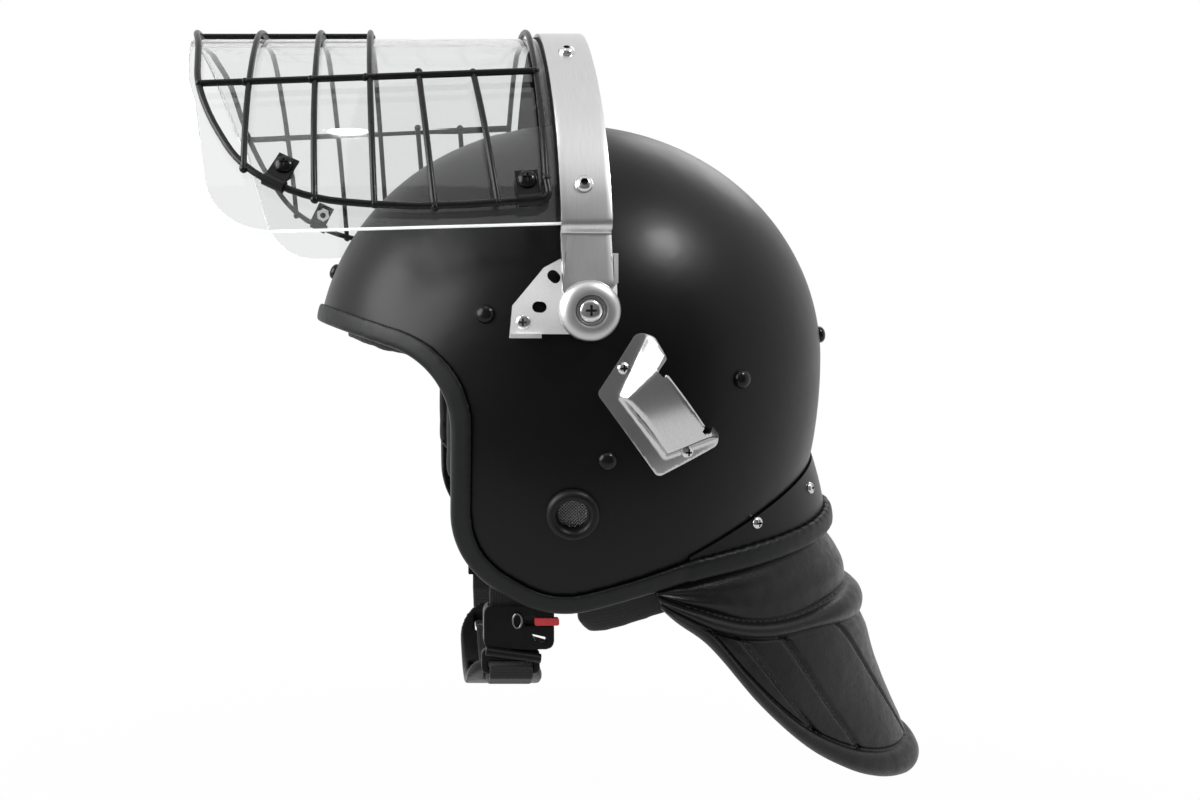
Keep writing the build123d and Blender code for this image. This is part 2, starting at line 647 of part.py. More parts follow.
def make_clips():
    length, height, wall = CLIP_PLATE
    base = VISOR_WALL + CLIP_GAP
    plate = Pos(0, height / 2 - CLIP_SCREW_UP - 1, base + wall / 2) * Box(length, height, wall)
    plate -= Cylinder(CLIP_HOLE_R, 30)
    barrel = Rot(0, 90, 0) * Cylinder(CLIP_BARREL_R, CLIP_BARREL_LENGTH)
    bore = Rot(0, 90, 0) * Cylinder(WIRE_R + CLIP_PLAY, 40)
    below = Pos(0, 0, base - 5) * Box(60, 60, 10)
    clips = []
    for y, spot in zip(CLIPS, clip_screw_spots()):
        clips.append(spot * plate + wire_plane(y) * barrel - wire_plane(y) * bore - spot * below)
    return both_sides(*clips)


def make_clip_screws():
    low = VISOR_WALL + CLIP_GAP + CLIP_PLATE[2] + PIVOT_GAP
    screw = Pos(0, 0, low) * pan_head(CLIP_HEAD_R, CLIP_HEAD_RISE)
    screw += Pos(0, 0, (low - NUT_WALL) / 2) * Cylinder(CLIP_HOLE_R - 0.1, low + NUT_WALL)
    return both_sides(*[spot * screw for spot in clip_screw_spots()])


def make_clip_nuts():
    nut = Pos(0, 0, -SEAT_GAP) * hex_nut(CLIP_HOLE_R - 0.1 + NUT_GAP)
    return both_sides(*[spot * nut for spot in clip_screw_spots()])


# Pivots and dished quadrant plates

def make_quadrant():
    fall = PLATE_DISH * (45 - PLATE_FLAT_R)
    outside = [(PLATE_X, PIVOT_R + PIVOT_GAP), (PLATE_X, PLATE_FLAT_R), (PLATE_X - fall, 45)]
    inside = [(x - PLATE_WALL, r) for x, r in reversed(outside)]
    dish = revolve(make_face(Polyline(*outside, *inside, close=True)), axis=Axis.X)
    plate = dish & side_prism(PLATE_OUTLINE)
    for turn in DETENT_TURNS:
        slot = Plane.YZ * (Rot(0, 0, turn) * Pos(DETENT_R, 0) * SlotOverall(*DETENT_SLOT))
        plate -= extrude(slot, amount=140)
    for (low_y, high_y), (low_z, high_z), high_x in (DOWN_STOP, UP_STOP):
        foot_x = PLATE_X - PLATE_DISH * (hypot(high_y, high_z) - PLATE_FLAT_R) - PLATE_WALL
        size = (high_x - foot_x, high_y - low_y, high_z - low_z)
        middle = ((high_x + foot_x) / 2, (high_y + low_y) / 2, (high_z + low_z) / 2)
        plate += Pos(*middle) * Box(*size)
    return plate - on_plate(*QUADRANT_SCREW) * Cylinder(SCREW_R + PIVOT_GAP, 30)


def on_plate(y, z):
    """Plane on the outside of the dished plate."""
    reach = hypot(y, z)
    normal = Vector(1, PLATE_DISH * y / reach, PLATE_DISH * z / reach)
    return Plane(origin=(PLATE_X - PLATE_DISH * (reach - PLATE_FLAT_R), y, z), z_dir=normal)


def make_quadrant_screws():
    head = Pos(0, 0, SEAT_GAP) * pan_head(3.55, 0.9)
    shank = Pos(0, 0, SEAT_GAP - QUADRANT_SHANK / 2) * Cylinder(SCREW_R, QUADRANT_SHANK)
    return both_sides(on_plate(*QUADRANT_SCREW) * (head + shank))


def make_spacers():
    ring = Cylinder(4.5, 12) - Cylinder(SCREW_R + SEAT_GAP, 12)
    stud = on_plate(*QUADRANT_SCREW) * Pos(0, 0, -PLATE_WALL - 6 - PIVOT_GAP) * ring
    return both_sides(stud - dome(PIVOT_GAP))


def make_bushes():
    core = rod_x(PIVOT_R, 106.8, PIVOT_END_X)
    shoulder = rod_x(BUSH_SHOULDER_R, 110, PLATE_X - PLATE_WALL) - dome(PIVOT_GAP)
    flange = rod_x(9, 106.8, 114) & dome(-SHELL_WALL - PIVOT_GAP)
    return both_sides(core + shoulder + flange - rod_x(3, 105, 130))


def make_washers():
    ring = rod_x(9.5, PLATE_X + SEAT_GAP, ARM_X - BAND_WALL / 2 - SEAT_GAP)
    return both_sides(ring - rod_x(PIVOT_R + PIVOT_GAP, 110, 130))


def make_discs():
    low = PIVOT_END_X
    ring_floor = low + 3.4
    face = DISC_FACE_X
    outside = [(low, DISC_R), (low + 3.2, DISC_R), (low + 5.4, DISC_R - 1.6), (face, DISC_R - 5.2)]
    well = [(face, 7.35), (ring_floor, 7.35), (ring_floor, 5.6), (ring_floor + 0.8, 5.6)]
    bore = [(ring_floor + 0.8, 3.05), (low, 3.05)]
    return both_sides(revolve(make_face(Polyline(*outside, *well, *bore, close=True)), axis=Axis.X))


def make_pivot_screws():
    seat = PIVOT_END_X + 4.2 + PIVOT_GAP
    head = pan_head(5.25, 1.9) - Pos(0, 0, 1.9) * cross_recess(6.0, 1.2)
    screw = Plane(origin=(seat, 0, 0), z_dir=(1, 0, 0)) * head
    return both_sides(screw + rod_x(2.95, 112, seat))


def make_detent_pins(arch):
    turn = radians(DETENT_TURNS[0])
    y, z = DETENT_R * cos(turn), DETENT_R * sin(turn)
    tip = PLATE_X - PLATE_DISH * (DETENT_R - DETENT_PIN_R - PLATE_FLAT_R) + PIN_GAP
    pin = rod_x(DETENT_PIN_R, tip, ARM_X - ARM_LEAN * (z - ARM_FLAT_Z), y, z)
    return both_sides(pin - arch)


# Strap hooks: a pressed base that lies on the shell and a raised tray, open to the back

def make_hook():
    base = (dome(HOOK_WALL + SEAT_GAP) - dome(SEAT_GAP)) & side_prism(HOOK_BASE)
    base &= Pos(100, 0, 0) * Box(200, 400, 400)
    middle_y, middle_z = HOOK_MIDDLE
    spot = on_shell(middle_y, middle_z)
    local = Plane(origin=spot.origin, x_dir=(0, 1, 0), z_dir=spot.z_dir)
    foot = [(y - middle_y, z - middle_z) for y, z in HOOK_FOOT]
    top = [(y - middle_y, z - middle_z) for y, z in HOOK_TOP]
    tray = loft([Pos(0, 0, -3) * make_face(Polyline(*foot, close=True)),
                 Pos(0, 0, HOOK_RISE) * make_face(Polyline(*top, close=True))], ruled=True)
    room = loft([Pos(0, 0, -3 - HOOK_WALL) * make_face(Polyline(*foot, close=True)),
                 Pos(0, 0, HOOK_RISE - HOOK_WALL) * make_face(Polyline(*top, close=True))], ruled=True)
    open_way = Vector(0.795, 0.606) * HOOK_OPEN
    shifted = Pos(open_way.X, open_way.Y, 0) * room
    tray -= room & Pos(HOOK_WALL * 1.2, HOOK_WALL * 0.9, 0) * room
    tray -= shifted
    tray = local * tray - dome(HOOK_WALL / 2)
    hook = base + tray
    for spot in HOOK_SCREWS:
        hook -= on_shell(*spot) * Cylinder(SCREW_R + SEAT_GAP, 30)
    return hook


def make_hook_screws():
    screw = pan_head(3.05, 1.9)
    screw += Pos(0, 0, -HOOK_SHANK / 2) * Cylinder(SCREW_R, HOOK_SHANK)
    return both_sides(*[on_shell(*spot, grow=HOOK_WALL + 2 * SEAT_GAP) * screw for spot in HOOK_SCREWS])


# Liner and pads

def lining(outside, inside):
    """Layer inside the shell between two depths."""
    return dome(-outside) - dome(-inside)


def make_liner():
    start = SHELL_WALL + LINER_GAP
    foam = lining(start, start + LINER_WALL) & rim_prism(LINER_INSET)
    foam &= Pos(0, 0, LINER_FOOT_Z + 200) * Box(400, 400, 400)
    foam -= both_sides(rod_x(11, 90, 125), on_shell(*EAR_SPOT) * Cylinder(16, 60))
    return foam


def pad_layer():
    start = SHELL_WALL + LINER_GAP + LINER_WALL + PAD_GAP
    return lining(start, start + PAD_WALL)


def make_brow_pad():
    return pad_layer() & rim_prism(-5) & side_prism(BROW_PAD)


def make_cheek_pads():
    pads = pad_layer() & side_prism(CHEEK_PAD)
    return pads.solids().sort_by(Axis.X)


def make_crown_pad():
    return pad_layer() & Pos(0, 0, CROWN_PAD_Z + 100) * Box(400, 400, 200)


def make_nape_roll():
    start = SHELL_WALL + TRIM_PROUD + NAPE_PAD_GAP
    return lining(start, start + NAPE_PAD_WALL) & side_prism(NAPE_PAD)


# Leather neck guard: a collar under the rim, a welt and a flap

def neck_form(grow):
    """Solid inside the neck guard's outer surface, grown outwards by an amount."""
    rings = [Pos(0, y, z) * Ellipse(width + grow, length + grow) for z, y, width, length in NECK_RINGS]
    return loft(rings)


def neck_sheet(outside, inside):
    sheet = neck_form(outside) - neck_form(inside)
    return (sheet & side_prism(NECK_EDGE, NECK_EDGE_RADII)) - rim_prism(-0.2)


def below_welt(drop):
    """Everything below the welt line, with the line lowered by a drop."""
    line = [(y, z - drop) for y, z in WELT_LINE]
    return side_prism([*line, (260, line[-1][1]), (260, -320), (line[0][0], -320)])


def make_collar():
    return neck_sheet(0, -LEATHER_WALL) - below_welt(-WELT_WIDTH / 2)


def make_welt():
    band = below_welt(-WELT_WIDTH / 2 + 0.1) - below_welt(WELT_WIDTH / 2 - 0.1)
    crest = below_welt(-WELT_WIDTH / 2 + 2.5) - below_welt(WELT_WIDTH / 2 - 2.5)
    return (neck_sheet(2.2, -LEATHER_WALL) & band) + (neck_sheet(4.4, -LEATHER_WALL) & crest)


def make_flap():
    return neck_sheet(0, -LEATHER_WALL) & below_welt(WELT_WIDTH / 2)


# Chin strap: hangers on pins, webbing, buckle with a release button, and chin cup

def make_anchors():
    flange = rod_x(7, 92.5, 102, ANCHOR_Y, ANCHOR_Z) & dome(-SHELL_WALL - PIVOT_GAP)
    pin = rod_x(ANCHOR_PIN_R, HANGER_X - 1, 93, ANCHOR_Y, ANCHOR_Z)
    head = rod_x(5.5, HANGER_X - 2.2, HANGER_X - 0.3, ANCHOR_Y, ANCHOR_Z)
    return both_sides(flange + pin + head)


def make_hangers():
    plate = side_prism(HANGER) + rod_x(8, 60, 100, ANCHOR_Y, ANCHOR_Z)
    plate &= Pos(HANGER_X + HANGER_WALL / 2, 0, 0) * Box(HANGER_WALL, 400, 400)
    plate -= rod_x(ANCHOR_PIN_R + PIVOT_GAP, 60, 110, ANCHOR_Y, ANCHOR_Z)
    plate -= Pos(HANGER_X, ANCHOR_Y, STRAP_SLOT_Z) * Box(20, STRAP_WIDTH + 0.8, 3.4)
    return both_sides(plate)


def webbing(route):
    """Flat strap through (x, z) points, centred on the anchors' y."""
    ribbon = trace(Polyline(*route).edges(), line_width=STRAP_WALL)
    return Pos(0, ANCHOR_Y + STRAP_WIDTH / 2, 0) * extrude(Plane.XZ * ribbon, amount=STRAP_WIDTH)


def make_long_strap():
    """One strap from the right hanger, down through the cup and up to the buckle tongue."""
    right = [(-x, z) for x, z in UPPER_ROUTE + STRAP_DOWN + STRAP_IN_CUP]
    left = STRAP_IN_CUP[-2::-1] + STRAP_DOWN[-1:] + STRAP_TO_TONGUE
    return webbing(right + left)


def make_cup():
    middle_z = CUP_FOOT_Z + CUP_R
    ring = Plane.XZ * Pos(0, middle_z) * (Circle(CUP_R) - Circle(CUP_R - CUP_WALL))
    cup = Pos(0, ANCHOR_Y + CUP_WIDTH / 2, 0) * extrude(ring, amount=CUP_WIDTH)
    outline = Pos(0, ANCHOR_Y, -230) * extrude(RectangleRounded(2 * CUP_HALF, CUP_WIDTH, 16), amount=60)
    cup &= outline
    for x in (-CUP_SLOT_X, CUP_SLOT_X):
        cup -= Pos(x, ANCHOR_Y, CUP_FOOT_Z) * Box(CUP_SLOT_WIDTH, STRAP_WIDTH + 1, 60)
    for y in (-14, 14):
        cup -= Pos(0, ANCHOR_Y + y, CUP_FOOT_Z) * extrude(SlotOverall(24, 5), amount=20, both=True)
    return cup


def make_socket():
    low_x, high_x = SOCKET_X
    low_y, high_y = SOCKET_Y
    low_z, high_z = SOCKET_Z
    size = (high_x - low_x, high_y - low_y, high_z - low_z)
    middle = ((low_x + high_x) / 2, (low_y + high_y) / 2, (low_z + high_z) / 2)
    case = fillet((Pos(*middle) * Box(*size)).edges().filter_by(Axis.X), 4)
    case -= Pos(middle[0], ANCHOR_Y, low_z) * Box(3.6, TONGUE_WIDTH + 0.6, 2 * TONGUE_DEPTH + 1)
    case -= Pos(middle[0] + 1, ANCHOR_Y, high_z) * Box(3.2, STRAP_WIDTH + 1, 9)
    low_b, high_b = BUTTON_Z
    pocket = (BUTTON_LENGTH + BUTTON_ROOM, high_b - low_b + 0.4)
    spot = Pos(BUTTON_X[0] + 2.4, high_y - pocket[0] / 2 + 0.01, (low_b + high_b) / 2)
    return case - spot * Box(5, *pocket)


def make_button():
    low_b, high_b = BUTTON_Z
    start = SOCKET_Y[1] + BUTTON_PROUD
    block = Pos(sum(BUTTON_X) / 2, start - BUTTON_LENGTH / 2, (low_b + high_b) / 2)
    block *= Box(BUTTON_X[1] - BUTTON_X[0], BUTTON_LENGTH, high_b - low_b)
    return fillet(block.edges().filter_by(Axis.X), 1)


def make_tongue():
    middle_x = (SOCKET_X[0] + SOCKET_X[1]) / 2
    low_z = SOCKET_Z[0]
    blade = Pos(middle_x, ANCHOR_Y, low_z + TONGUE_DEPTH / 2 - 2) * Box(3, TONGUE_WIDTH, TONGUE_DEPTH + 4)
    plate = Pos(middle_x, ANCHOR_Y, low_z - 7) * Box(3, STRAP_WIDTH + 8, 13)
    plate = fillet(plate.edges().filter_by(Axis.X), 3)
    return blade + plate - Pos(middle_x, ANCHOR_Y, low_z - 9) * Box(20, STRAP_WIDTH + 0.8, 3.6)


def make_slider():
    x, z = SLIDER_SPOT
    frame = Box(6, STRAP_WIDTH + 6, 12) - Box(STRAP_WALL + 0.8, STRAP_WIDTH + 0.8, 30)
    return Pos(-x, ANCHOR_Y, z) * frame


shell = make_shell()
arch = make_arch()
grille = make_grille()
cheeks = make_cheek_pads()
hook = make_hook()
quadrant = make_quadrant()
parts = {
    "outer_shell": shell,
    "rear_flare": make_flare(),
    "edge_trim": make_trim(),
    "shell_rivets": make_rivets(),
    "flare_screws": make_flare_screws(),
    "ear_grommets": make_grommets(),
    "ear_meshes": make_meshes(),
    "visor_arch": arch,
    "arch_gasket": make_gasket(),
    "visor_shield": make_shield(),
    "brow_seal": make_brow_seal(),
    "arch_bolts": make_bolts(),
    "arch_nuts": make_nuts(),
    "wire_grille": grille,
    "grille_clips": make_clips(),
    "clip_screws": make_clip_screws(),
    "clip_nuts": make_clip_nuts(),
    "quadrant_plate_left": quadrant,
    "quadrant_plate_right": mirror(quadrant, about=Plane.YZ),
    "quadrant_screws": make_quadrant_screws(),
    "quadrant_spacers": make_spacers(),
    "pivot_bushes": make_bushes(),
    "friction_washers": make_washers(),
    "pivot_discs": make_discs(),
    "pivot_screws": make_pivot_screws(),
    "detent_pins": make_detent_pins(arch),
    "strap_hook_left": hook,
    "strap_hook_right": mirror(hook, about=Plane.YZ),
    "hook_screws": make_hook_screws(),
    "impact_liner": make_liner(),
    "brow_pad": make_brow_pad(),
    "cheek_pad_right": cheeks[0],
    "cheek_pad_left": cheeks[-1],
    "crown_pad": make_crown_pad(),
    "nape_roll": make_nape_roll(),
    "neck_collar": make_collar(),
    "neck_welt": make_welt(),
    "neck_flap": make_flap(),
    "strap_anchors": make_anchors(),
    "strap_hangers": make_hangers(),
    "chin_strap_left": webbing(UPPER_ROUTE + [STRAP_IN_SOCKET]),
    "chin_strap_long": make_long_strap(),
    "chin_cup": make_cup(),
    "buckle_socket": make_socket(),
    "buckle_tongue": make_tongue(),
    "release_button": make_button(),
    "strap_slider": make_slider(),
}
os.makedirs("parts", exist_ok=True)
for name, shape in parts.items():
    save(name, shape)
    print(name, round(shape.volume), len(shape.solids()), shape.is_valid)
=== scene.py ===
# %% [markdown]
# # A police riot helmet with a raised visor
# The real thing is a satin black moulded shell with a rubber edge, a clear vaulted visor under a
# welded wire grille, an aluminium arch that turns on two pivots, pressed steel strap hooks, a
# leather neck guard and a webbing chin strap. The solid model gives every rigid piece its place.
# This script dresses it: some pieces only get a finish, and others are made again, smoother.

# %% Load the frame
from math import acos, atan2, ceil, cos, degrees, exp, hypot, pi, radians, sin, sqrt, tan

import bmesh
import bpy
from mathutils import Matrix, Vector, noise
from mathutils.geometry import delaunay_2d_cdt


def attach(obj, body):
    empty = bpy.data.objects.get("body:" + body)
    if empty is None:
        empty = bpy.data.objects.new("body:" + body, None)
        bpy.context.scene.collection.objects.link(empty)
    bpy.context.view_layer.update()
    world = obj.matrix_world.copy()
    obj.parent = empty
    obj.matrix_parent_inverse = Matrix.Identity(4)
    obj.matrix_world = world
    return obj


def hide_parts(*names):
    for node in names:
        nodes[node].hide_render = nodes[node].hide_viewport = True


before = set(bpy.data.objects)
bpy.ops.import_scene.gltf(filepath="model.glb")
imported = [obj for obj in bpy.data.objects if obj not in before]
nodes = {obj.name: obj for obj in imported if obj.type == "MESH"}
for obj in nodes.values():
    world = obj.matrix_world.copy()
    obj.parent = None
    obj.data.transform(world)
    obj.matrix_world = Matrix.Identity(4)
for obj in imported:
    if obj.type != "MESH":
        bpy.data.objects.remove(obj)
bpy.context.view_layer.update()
MM = 0.001


def in_scene(name, data):
    """New object in the scene that shows a mesh, a curve, a lamp or a camera."""
    thing = bpy.data.objects.new(name, data)
    bpy.context.scene.collection.objects.link(thing)
    return thing


print("nodes in the frame:", len(nodes))

# %% [markdown]
# ## Camera
# A product photographer stands level with the pivots and squarely to the side, quite close. The
# lens is a mild wide angle. A shift, as on a view camera, keeps the helmet's verticals upright
# although the picture's centre lies behind and below the point that the lens looks at.

# %% Camera at the photograph's angle
CAMERA_PLACE = (0.600, -0.0813, -0.0043)
LENS_MM = 30.6
SHIFT = (0.1542, -0.0667)
camera_data = bpy.data.cameras.new("camera")
camera_data.lens = LENS_MM
camera_data.sensor_width = 36
camera_data.shift_x, camera_data.shift_y = SHIFT
camera = in_scene("camera", camera_data)
camera.location = CAMERA_PLACE
camera.rotation_euler = (radians(90), 0, radians(90))
bpy.context.scene.camera = camera
bpy.context.scene.view_settings.view_transform = "Standard"
print("camera", CAMERA_PLACE)

# %% [markdown]
# ## Light and background
# Black satin shows almost nothing but reflections. A soft lamp high behind gives the round
# highlight on the shell, a small one overhead gives the glint on the visor, a wide one in front
# gives the grey sheen on the brow, and a weak one on the far side draws the rear outline. A dark
# card behind the camera keeps the flank black, as the dark side of a studio does. The background
# is white only for rays that see or mirror it, so it lights the helmet no more than a plain room.

# %% White background that lights gently
ROOM_LIGHT = 0.55


def reckoned(tree, operation, *terms):
    """Socket of a math node; each term is another socket or a plain number."""
    step = tree.nodes.new("ShaderNodeMath")
    step.operation = operation
    for slot, term in zip(step.inputs, terms):
        if isinstance(term, float):
            slot.default_value = term
        else:
            tree.links.new(term, slot)
    return step.outputs[0]


def own_place(tree):
    """Socket with the place on the object's own coordinates."""
    return tree.nodes.new("ShaderNodeTexCoord").outputs["Object"]


def mixed(tree, share, first, second, target):
    """Mix two shaders by a share and feed them to the output named."""
    mix = tree.nodes.new("ShaderNodeMixShader")
    for slot, source in zip(mix.inputs, (share, first.outputs[0], second.outputs[0])):
        tree.links.new(source, slot)
    tree.links.new(mix.outputs[0], tree.nodes[target].inputs[0])


def seen_rays(tree):
    """Socket that is 1 for camera, glossy and transmission rays."""
    path = tree.nodes.new("ShaderNodeLightPath").outputs
    seen = reckoned(tree, "MAXIMUM", path["Is Camera Ray"], path["Is Glossy Ray"])
    return reckoned(tree, "MAXIMUM", seen, path["Is Transmission Ray"])


world = bpy.data.worlds.new("studio")
bpy.context.scene.world = world
world.use_nodes = True
world_tree = world.node_tree
room = world_tree.nodes["Background"]
room.inputs["Color"].default_value = (1, 1, 1, 1)
room.inputs["Strength"].default_value = ROOM_LIGHT
backdrop = world_tree.nodes.new("ShaderNodeBackground")
backdrop.inputs["Color"].default_value = (1, 1, 1, 1)
backdrop.inputs["Strength"].default_value = 1.0
mixed(world_tree, seen_rays(world_tree), room, backdrop, "World Output")
print("room light", ROOM_LIGHT)

# %% Lamps and the floor
REAR_LAMP = {"place": (0.62, 0.70, 0.86), "size": 0.24, "watts": 9.0}
VISOR_LAMP = {"place": (0.46, -0.22, 1.20), "size": 0.06, "watts": 0.5}
FRONT_LAMP = {"place": (0.42, -1.20, 0.52), "size": 1.30, "watts": 34.0}
RIM_LAMP = {"place": (-0.72, 0.62, 0.74), "size": 0.60, "watts": 2.2}
FLOOR_Z = -0.70
FLOOR_WHITE_SHARE = 0.86
SHADOW_REACH = (0.35, 1.6)


def hang_lamp(name, place, size, watts, target=(0, 0, 0)):
    """Round soft lamp that faces a point."""
    data = bpy.data.lights.new(name, "AREA")
    data.shape = "DISK"
    data.size = size
    data.energy = watts
    lamp = in_scene(name, data)
    lamp.location = place
    lamp.rotation_euler = (Vector(target) - Vector(place)).to_track_quat("-Z", "Y").to_euler()
    lamp.visible_camera = False


hang_lamp("rear_lamp", **REAR_LAMP)
hang_lamp("visor_lamp", **VISOR_LAMP)
hang_lamp("front_lamp", **FRONT_LAMP)
hang_lamp("rim_lamp", **RIM_LAMP)


def flat_square(name, size):
    """Square in its own XY plane."""
    mesh = bpy.data.meshes.new(name)
    half = size / 2
    corners = [(-half, -half, 0), (half, -half, 0), (half, half, 0), (-half, half, 0)]
    mesh.from_pydata(corners, [], [(0, 1, 2, 3)])
    square = in_scene(name, mesh)
    return square


def floor_finish():
    """Pale floor that keeps a soft shadow and is otherwise as white as the background."""
    material = bpy.data.materials.new("pale_floor")
    material.use_nodes = True
    tree = material.node_tree
    tree.nodes.remove(tree.nodes["Principled BSDF"])
    matt = tree.nodes.new("ShaderNodeBsdfDiffuse")
    matt.inputs["Color"].default_value = (0.8, 0.8, 0.8, 1)
    white = tree.nodes.new("ShaderNodeEmission")
    reach = tree.nodes.new("ShaderNodeVectorMath")
    reach.operation = "LENGTH"
    tree.links.new(own_place(tree), reach.inputs[0])
    fade = tree.nodes.new("ShaderNodeMapRange")
    fade.interpolation_type = "SMOOTHSTEP"
    fade.inputs["From Min"].default_value = SHADOW_REACH[0]
    fade.inputs["From Max"].default_value = SHADOW_REACH[1]
    fade.inputs["To Min"].default_value = FLOOR_WHITE_SHARE
    fade.inputs["To Max"].default_value = 1.0
    tree.links.new(reach.outputs["Value"], fade.inputs["Value"])
    share = reckoned(tree, "MULTIPLY", seen_rays(tree), fade.outputs[0])
    mixed(tree, share, matt, white, "Material Output")
    return material


def dark_card(place, size):
    """Dark card that only polished surfaces mirror, as a photographer's flag."""
    card = flat_square("dark_card", 1.0)
    card.location = place
    card.scale = (size[0], size[1], 1)
    card.rotation_euler = (radians(90), 0, radians(90))
    card.data.materials.append(bpy.data.materials.new("dark_card"))
    dark = card.data.materials[0]
    dark.use_nodes = True
    shader = dark.node_tree.nodes["Principled BSDF"]
    shader.inputs["Base Color"].default_value = (0.16, 0.16, 0.16, 1)
    shader.inputs["Specular IOR Level"].default_value = 0.0
    card.visible_camera = False
    card.visible_diffuse = False
    card.visible_transmission = False
    card.visible_shadow = False


CARD_PLACE, CARD_SIZE = (1.15, -0.10, 0.02), (3.4, 2.2)
dark_card(CARD_PLACE, CARD_SIZE)
floor = flat_square("floor", 8.0)
floor.location.z = FLOOR_Z
floor.data.materials.append(floor_finish())
print("floor at", FLOOR_Z)

# %% [markdown]
# ## Finishes
# Each finish is one principled shader with grain from noise in its roughness and its bump. The
# grain is measured in real millimetres on the object's own coordinates, so it keeps its scale on
# every piece and in every view. Constant values sit on the shader itself.

# %% Helpers for finishes
NOISE_RANGE = (0.3, 0.7)


def finish(name, colour, roughness, metallic=0.0, **settings):
    """Material with one principled shader; colour is linear red, green and blue."""
    material = bpy.data.materials.new(name)
    material.use_nodes = True
    shader = material.node_tree.nodes["Principled BSDF"]
    shader.inputs["Base Color"].default_value = (*colour, 1)
    shader.inputs["Roughness"].default_value = roughness
    shader.inputs["Metallic"].default_value = metallic
    for key, value in settings.items():
        shader.inputs[key.replace("_", " ")].default_value = value
    return material


def grain(material, size_mm, stretch=(1, 1, 1), detail=3.0):
    """Noise of a real grain size, stretched along axes, as a socket from 0 to 1."""
    tree = material.node_tree
    mapping = tree.nodes.new("ShaderNodeMapping")
    mapping.inputs["Scale"].default_value = [1 / s for s in stretch]
    tree.links.new(own_place(tree), mapping.inputs["Vector"])
    texture = tree.nodes.new("ShaderNodeTexNoise")
    texture.inputs["Scale"].default_value = 1 / (size_mm * MM)
    texture.inputs["Detail"].default_value = detail
    tree.links.new(mapping.outputs[0], texture.inputs["Vector"])
    return texture.outputs["Fac"]


def spread(material, socket, low, high, target):
    """Map a 0 to 1 socket to a range and feed it to one input of the principled shader."""
    tree = material.node_tree
    ramp = tree.nodes.new("ShaderNodeMapRange")
    ramp.inputs["From Min"].default_value, ramp.inputs["From Max"].default_value = NOISE_RANGE
    ramp.inputs["To Min"].default_value = low
    ramp.inputs["To Max"].default_value = high
    tree.links.new(socket, ramp.inputs["Value"])
    tree.links.new(ramp.outputs[0], tree.nodes["Principled BSDF"].inputs[target])


def emboss(material, socket, depth_mm, strength=1.0):
    """Raise the surface by a socket's height."""
    tree = material.node_tree
    bump = tree.nodes.new("ShaderNodeBump")
    bump.inputs["Strength"].default_value = strength
    bump.inputs["Distance"].default_value = depth_mm * MM
    tree.links.new(socket, bump.inputs["Height"])
    tree.links.new(bump.outputs[0], tree.nodes["Principled BSDF"].inputs["Normal"])


def shades(material, socket, dark, light):
    """Vary the base colour between two shades."""
    tree = material.node_tree
    ramp = tree.nodes.new("ShaderNodeValToRGB")
    for element, position, colour in zip(ramp.color_ramp.elements, NOISE_RANGE, (dark, light)):
        element.position = position
        element.color = (*colour, 1)
    tree.links.new(socket, ramp.inputs[0])
    tree.links.new(ramp.outputs[0], tree.nodes["Principled BSDF"].inputs["Base Color"])


def grey(value):
    """A neutral linear colour."""
    return (value, value, value)


# %% Paint, rubber and plastics


def shell_paint():
    material = finish("shell_paint", grey(0.0022), 0.36, Specular_IOR_Level=0.12,
                      Coat_Weight=0.10, Coat_Roughness=0.26)
    spread(material, grain(material, 22), 0.35, 0.40, "Roughness")
    emboss(material, grain(material, 0.9, detail=1.0), 0.006)
    return material


def trim_rubber():
    material = finish("trim_rubber", (0.005, 0.0054, 0.0058), 0.44, Specular_IOR_Level=0.18)
    spread(material, grain(material, 6), 0.40, 0.50, "Roughness")
    emboss(material, grain(material, 0.5), 0.012)
    return material


def moulded_black(name, roughness=0.34):
    material = finish(name, grey(0.0035), roughness, Specular_IOR_Level=0.2)
    spread(material, grain(material, 2.5), roughness - 0.05, roughness + 0.08, "Roughness")
    emboss(material, grain(material, 0.35), 0.006)
    return material


def red_plastic():
    material = finish("red_plastic", (0.42, 0.022, 0.030), 0.38)
    spread(material, grain(material, 1.2), 0.32, 0.46, "Roughness")
    emboss(material, grain(material, 0.3), 0.006)
    return material


FINISH_PAINT = shell_paint()
FINISH_RUBBER = trim_rubber()
FINISH_RIVET = moulded_black("rivet_black", 0.20)
FINISH_GROMMET = moulded_black("grommet_rubber", 0.42)
FINISH_BUCKLE = moulded_black("buckle_plastic", 0.36)
FINISH_WASHER = moulded_black("washer_plastic", 0.45)
FINISH_GASKET = moulded_black("gasket_rubber", 0.62)
FINISH_WIRE = moulded_black("grille_coating", 0.30)
FINISH_RED = red_plastic()
print("plastics ready")

# %% Metals


def brushed(name, shade, roughness, stretch, size_mm=0.5, depth_mm=0.004):
    """Metal with fine scratches drawn out along one axis, and cloudy wear."""
    material = finish(name, grey(shade), roughness, metallic=1.0)
    lines = grain(material, size_mm, stretch, detail=4.0)
    emboss(material, lines, depth_mm)
    spread(material, grain(material, 30), roughness - 0.02, roughness + 0.03, "Roughness")
    shades(material, lines, grey(shade * 0.93), grey(shade * 1.03))
    return material


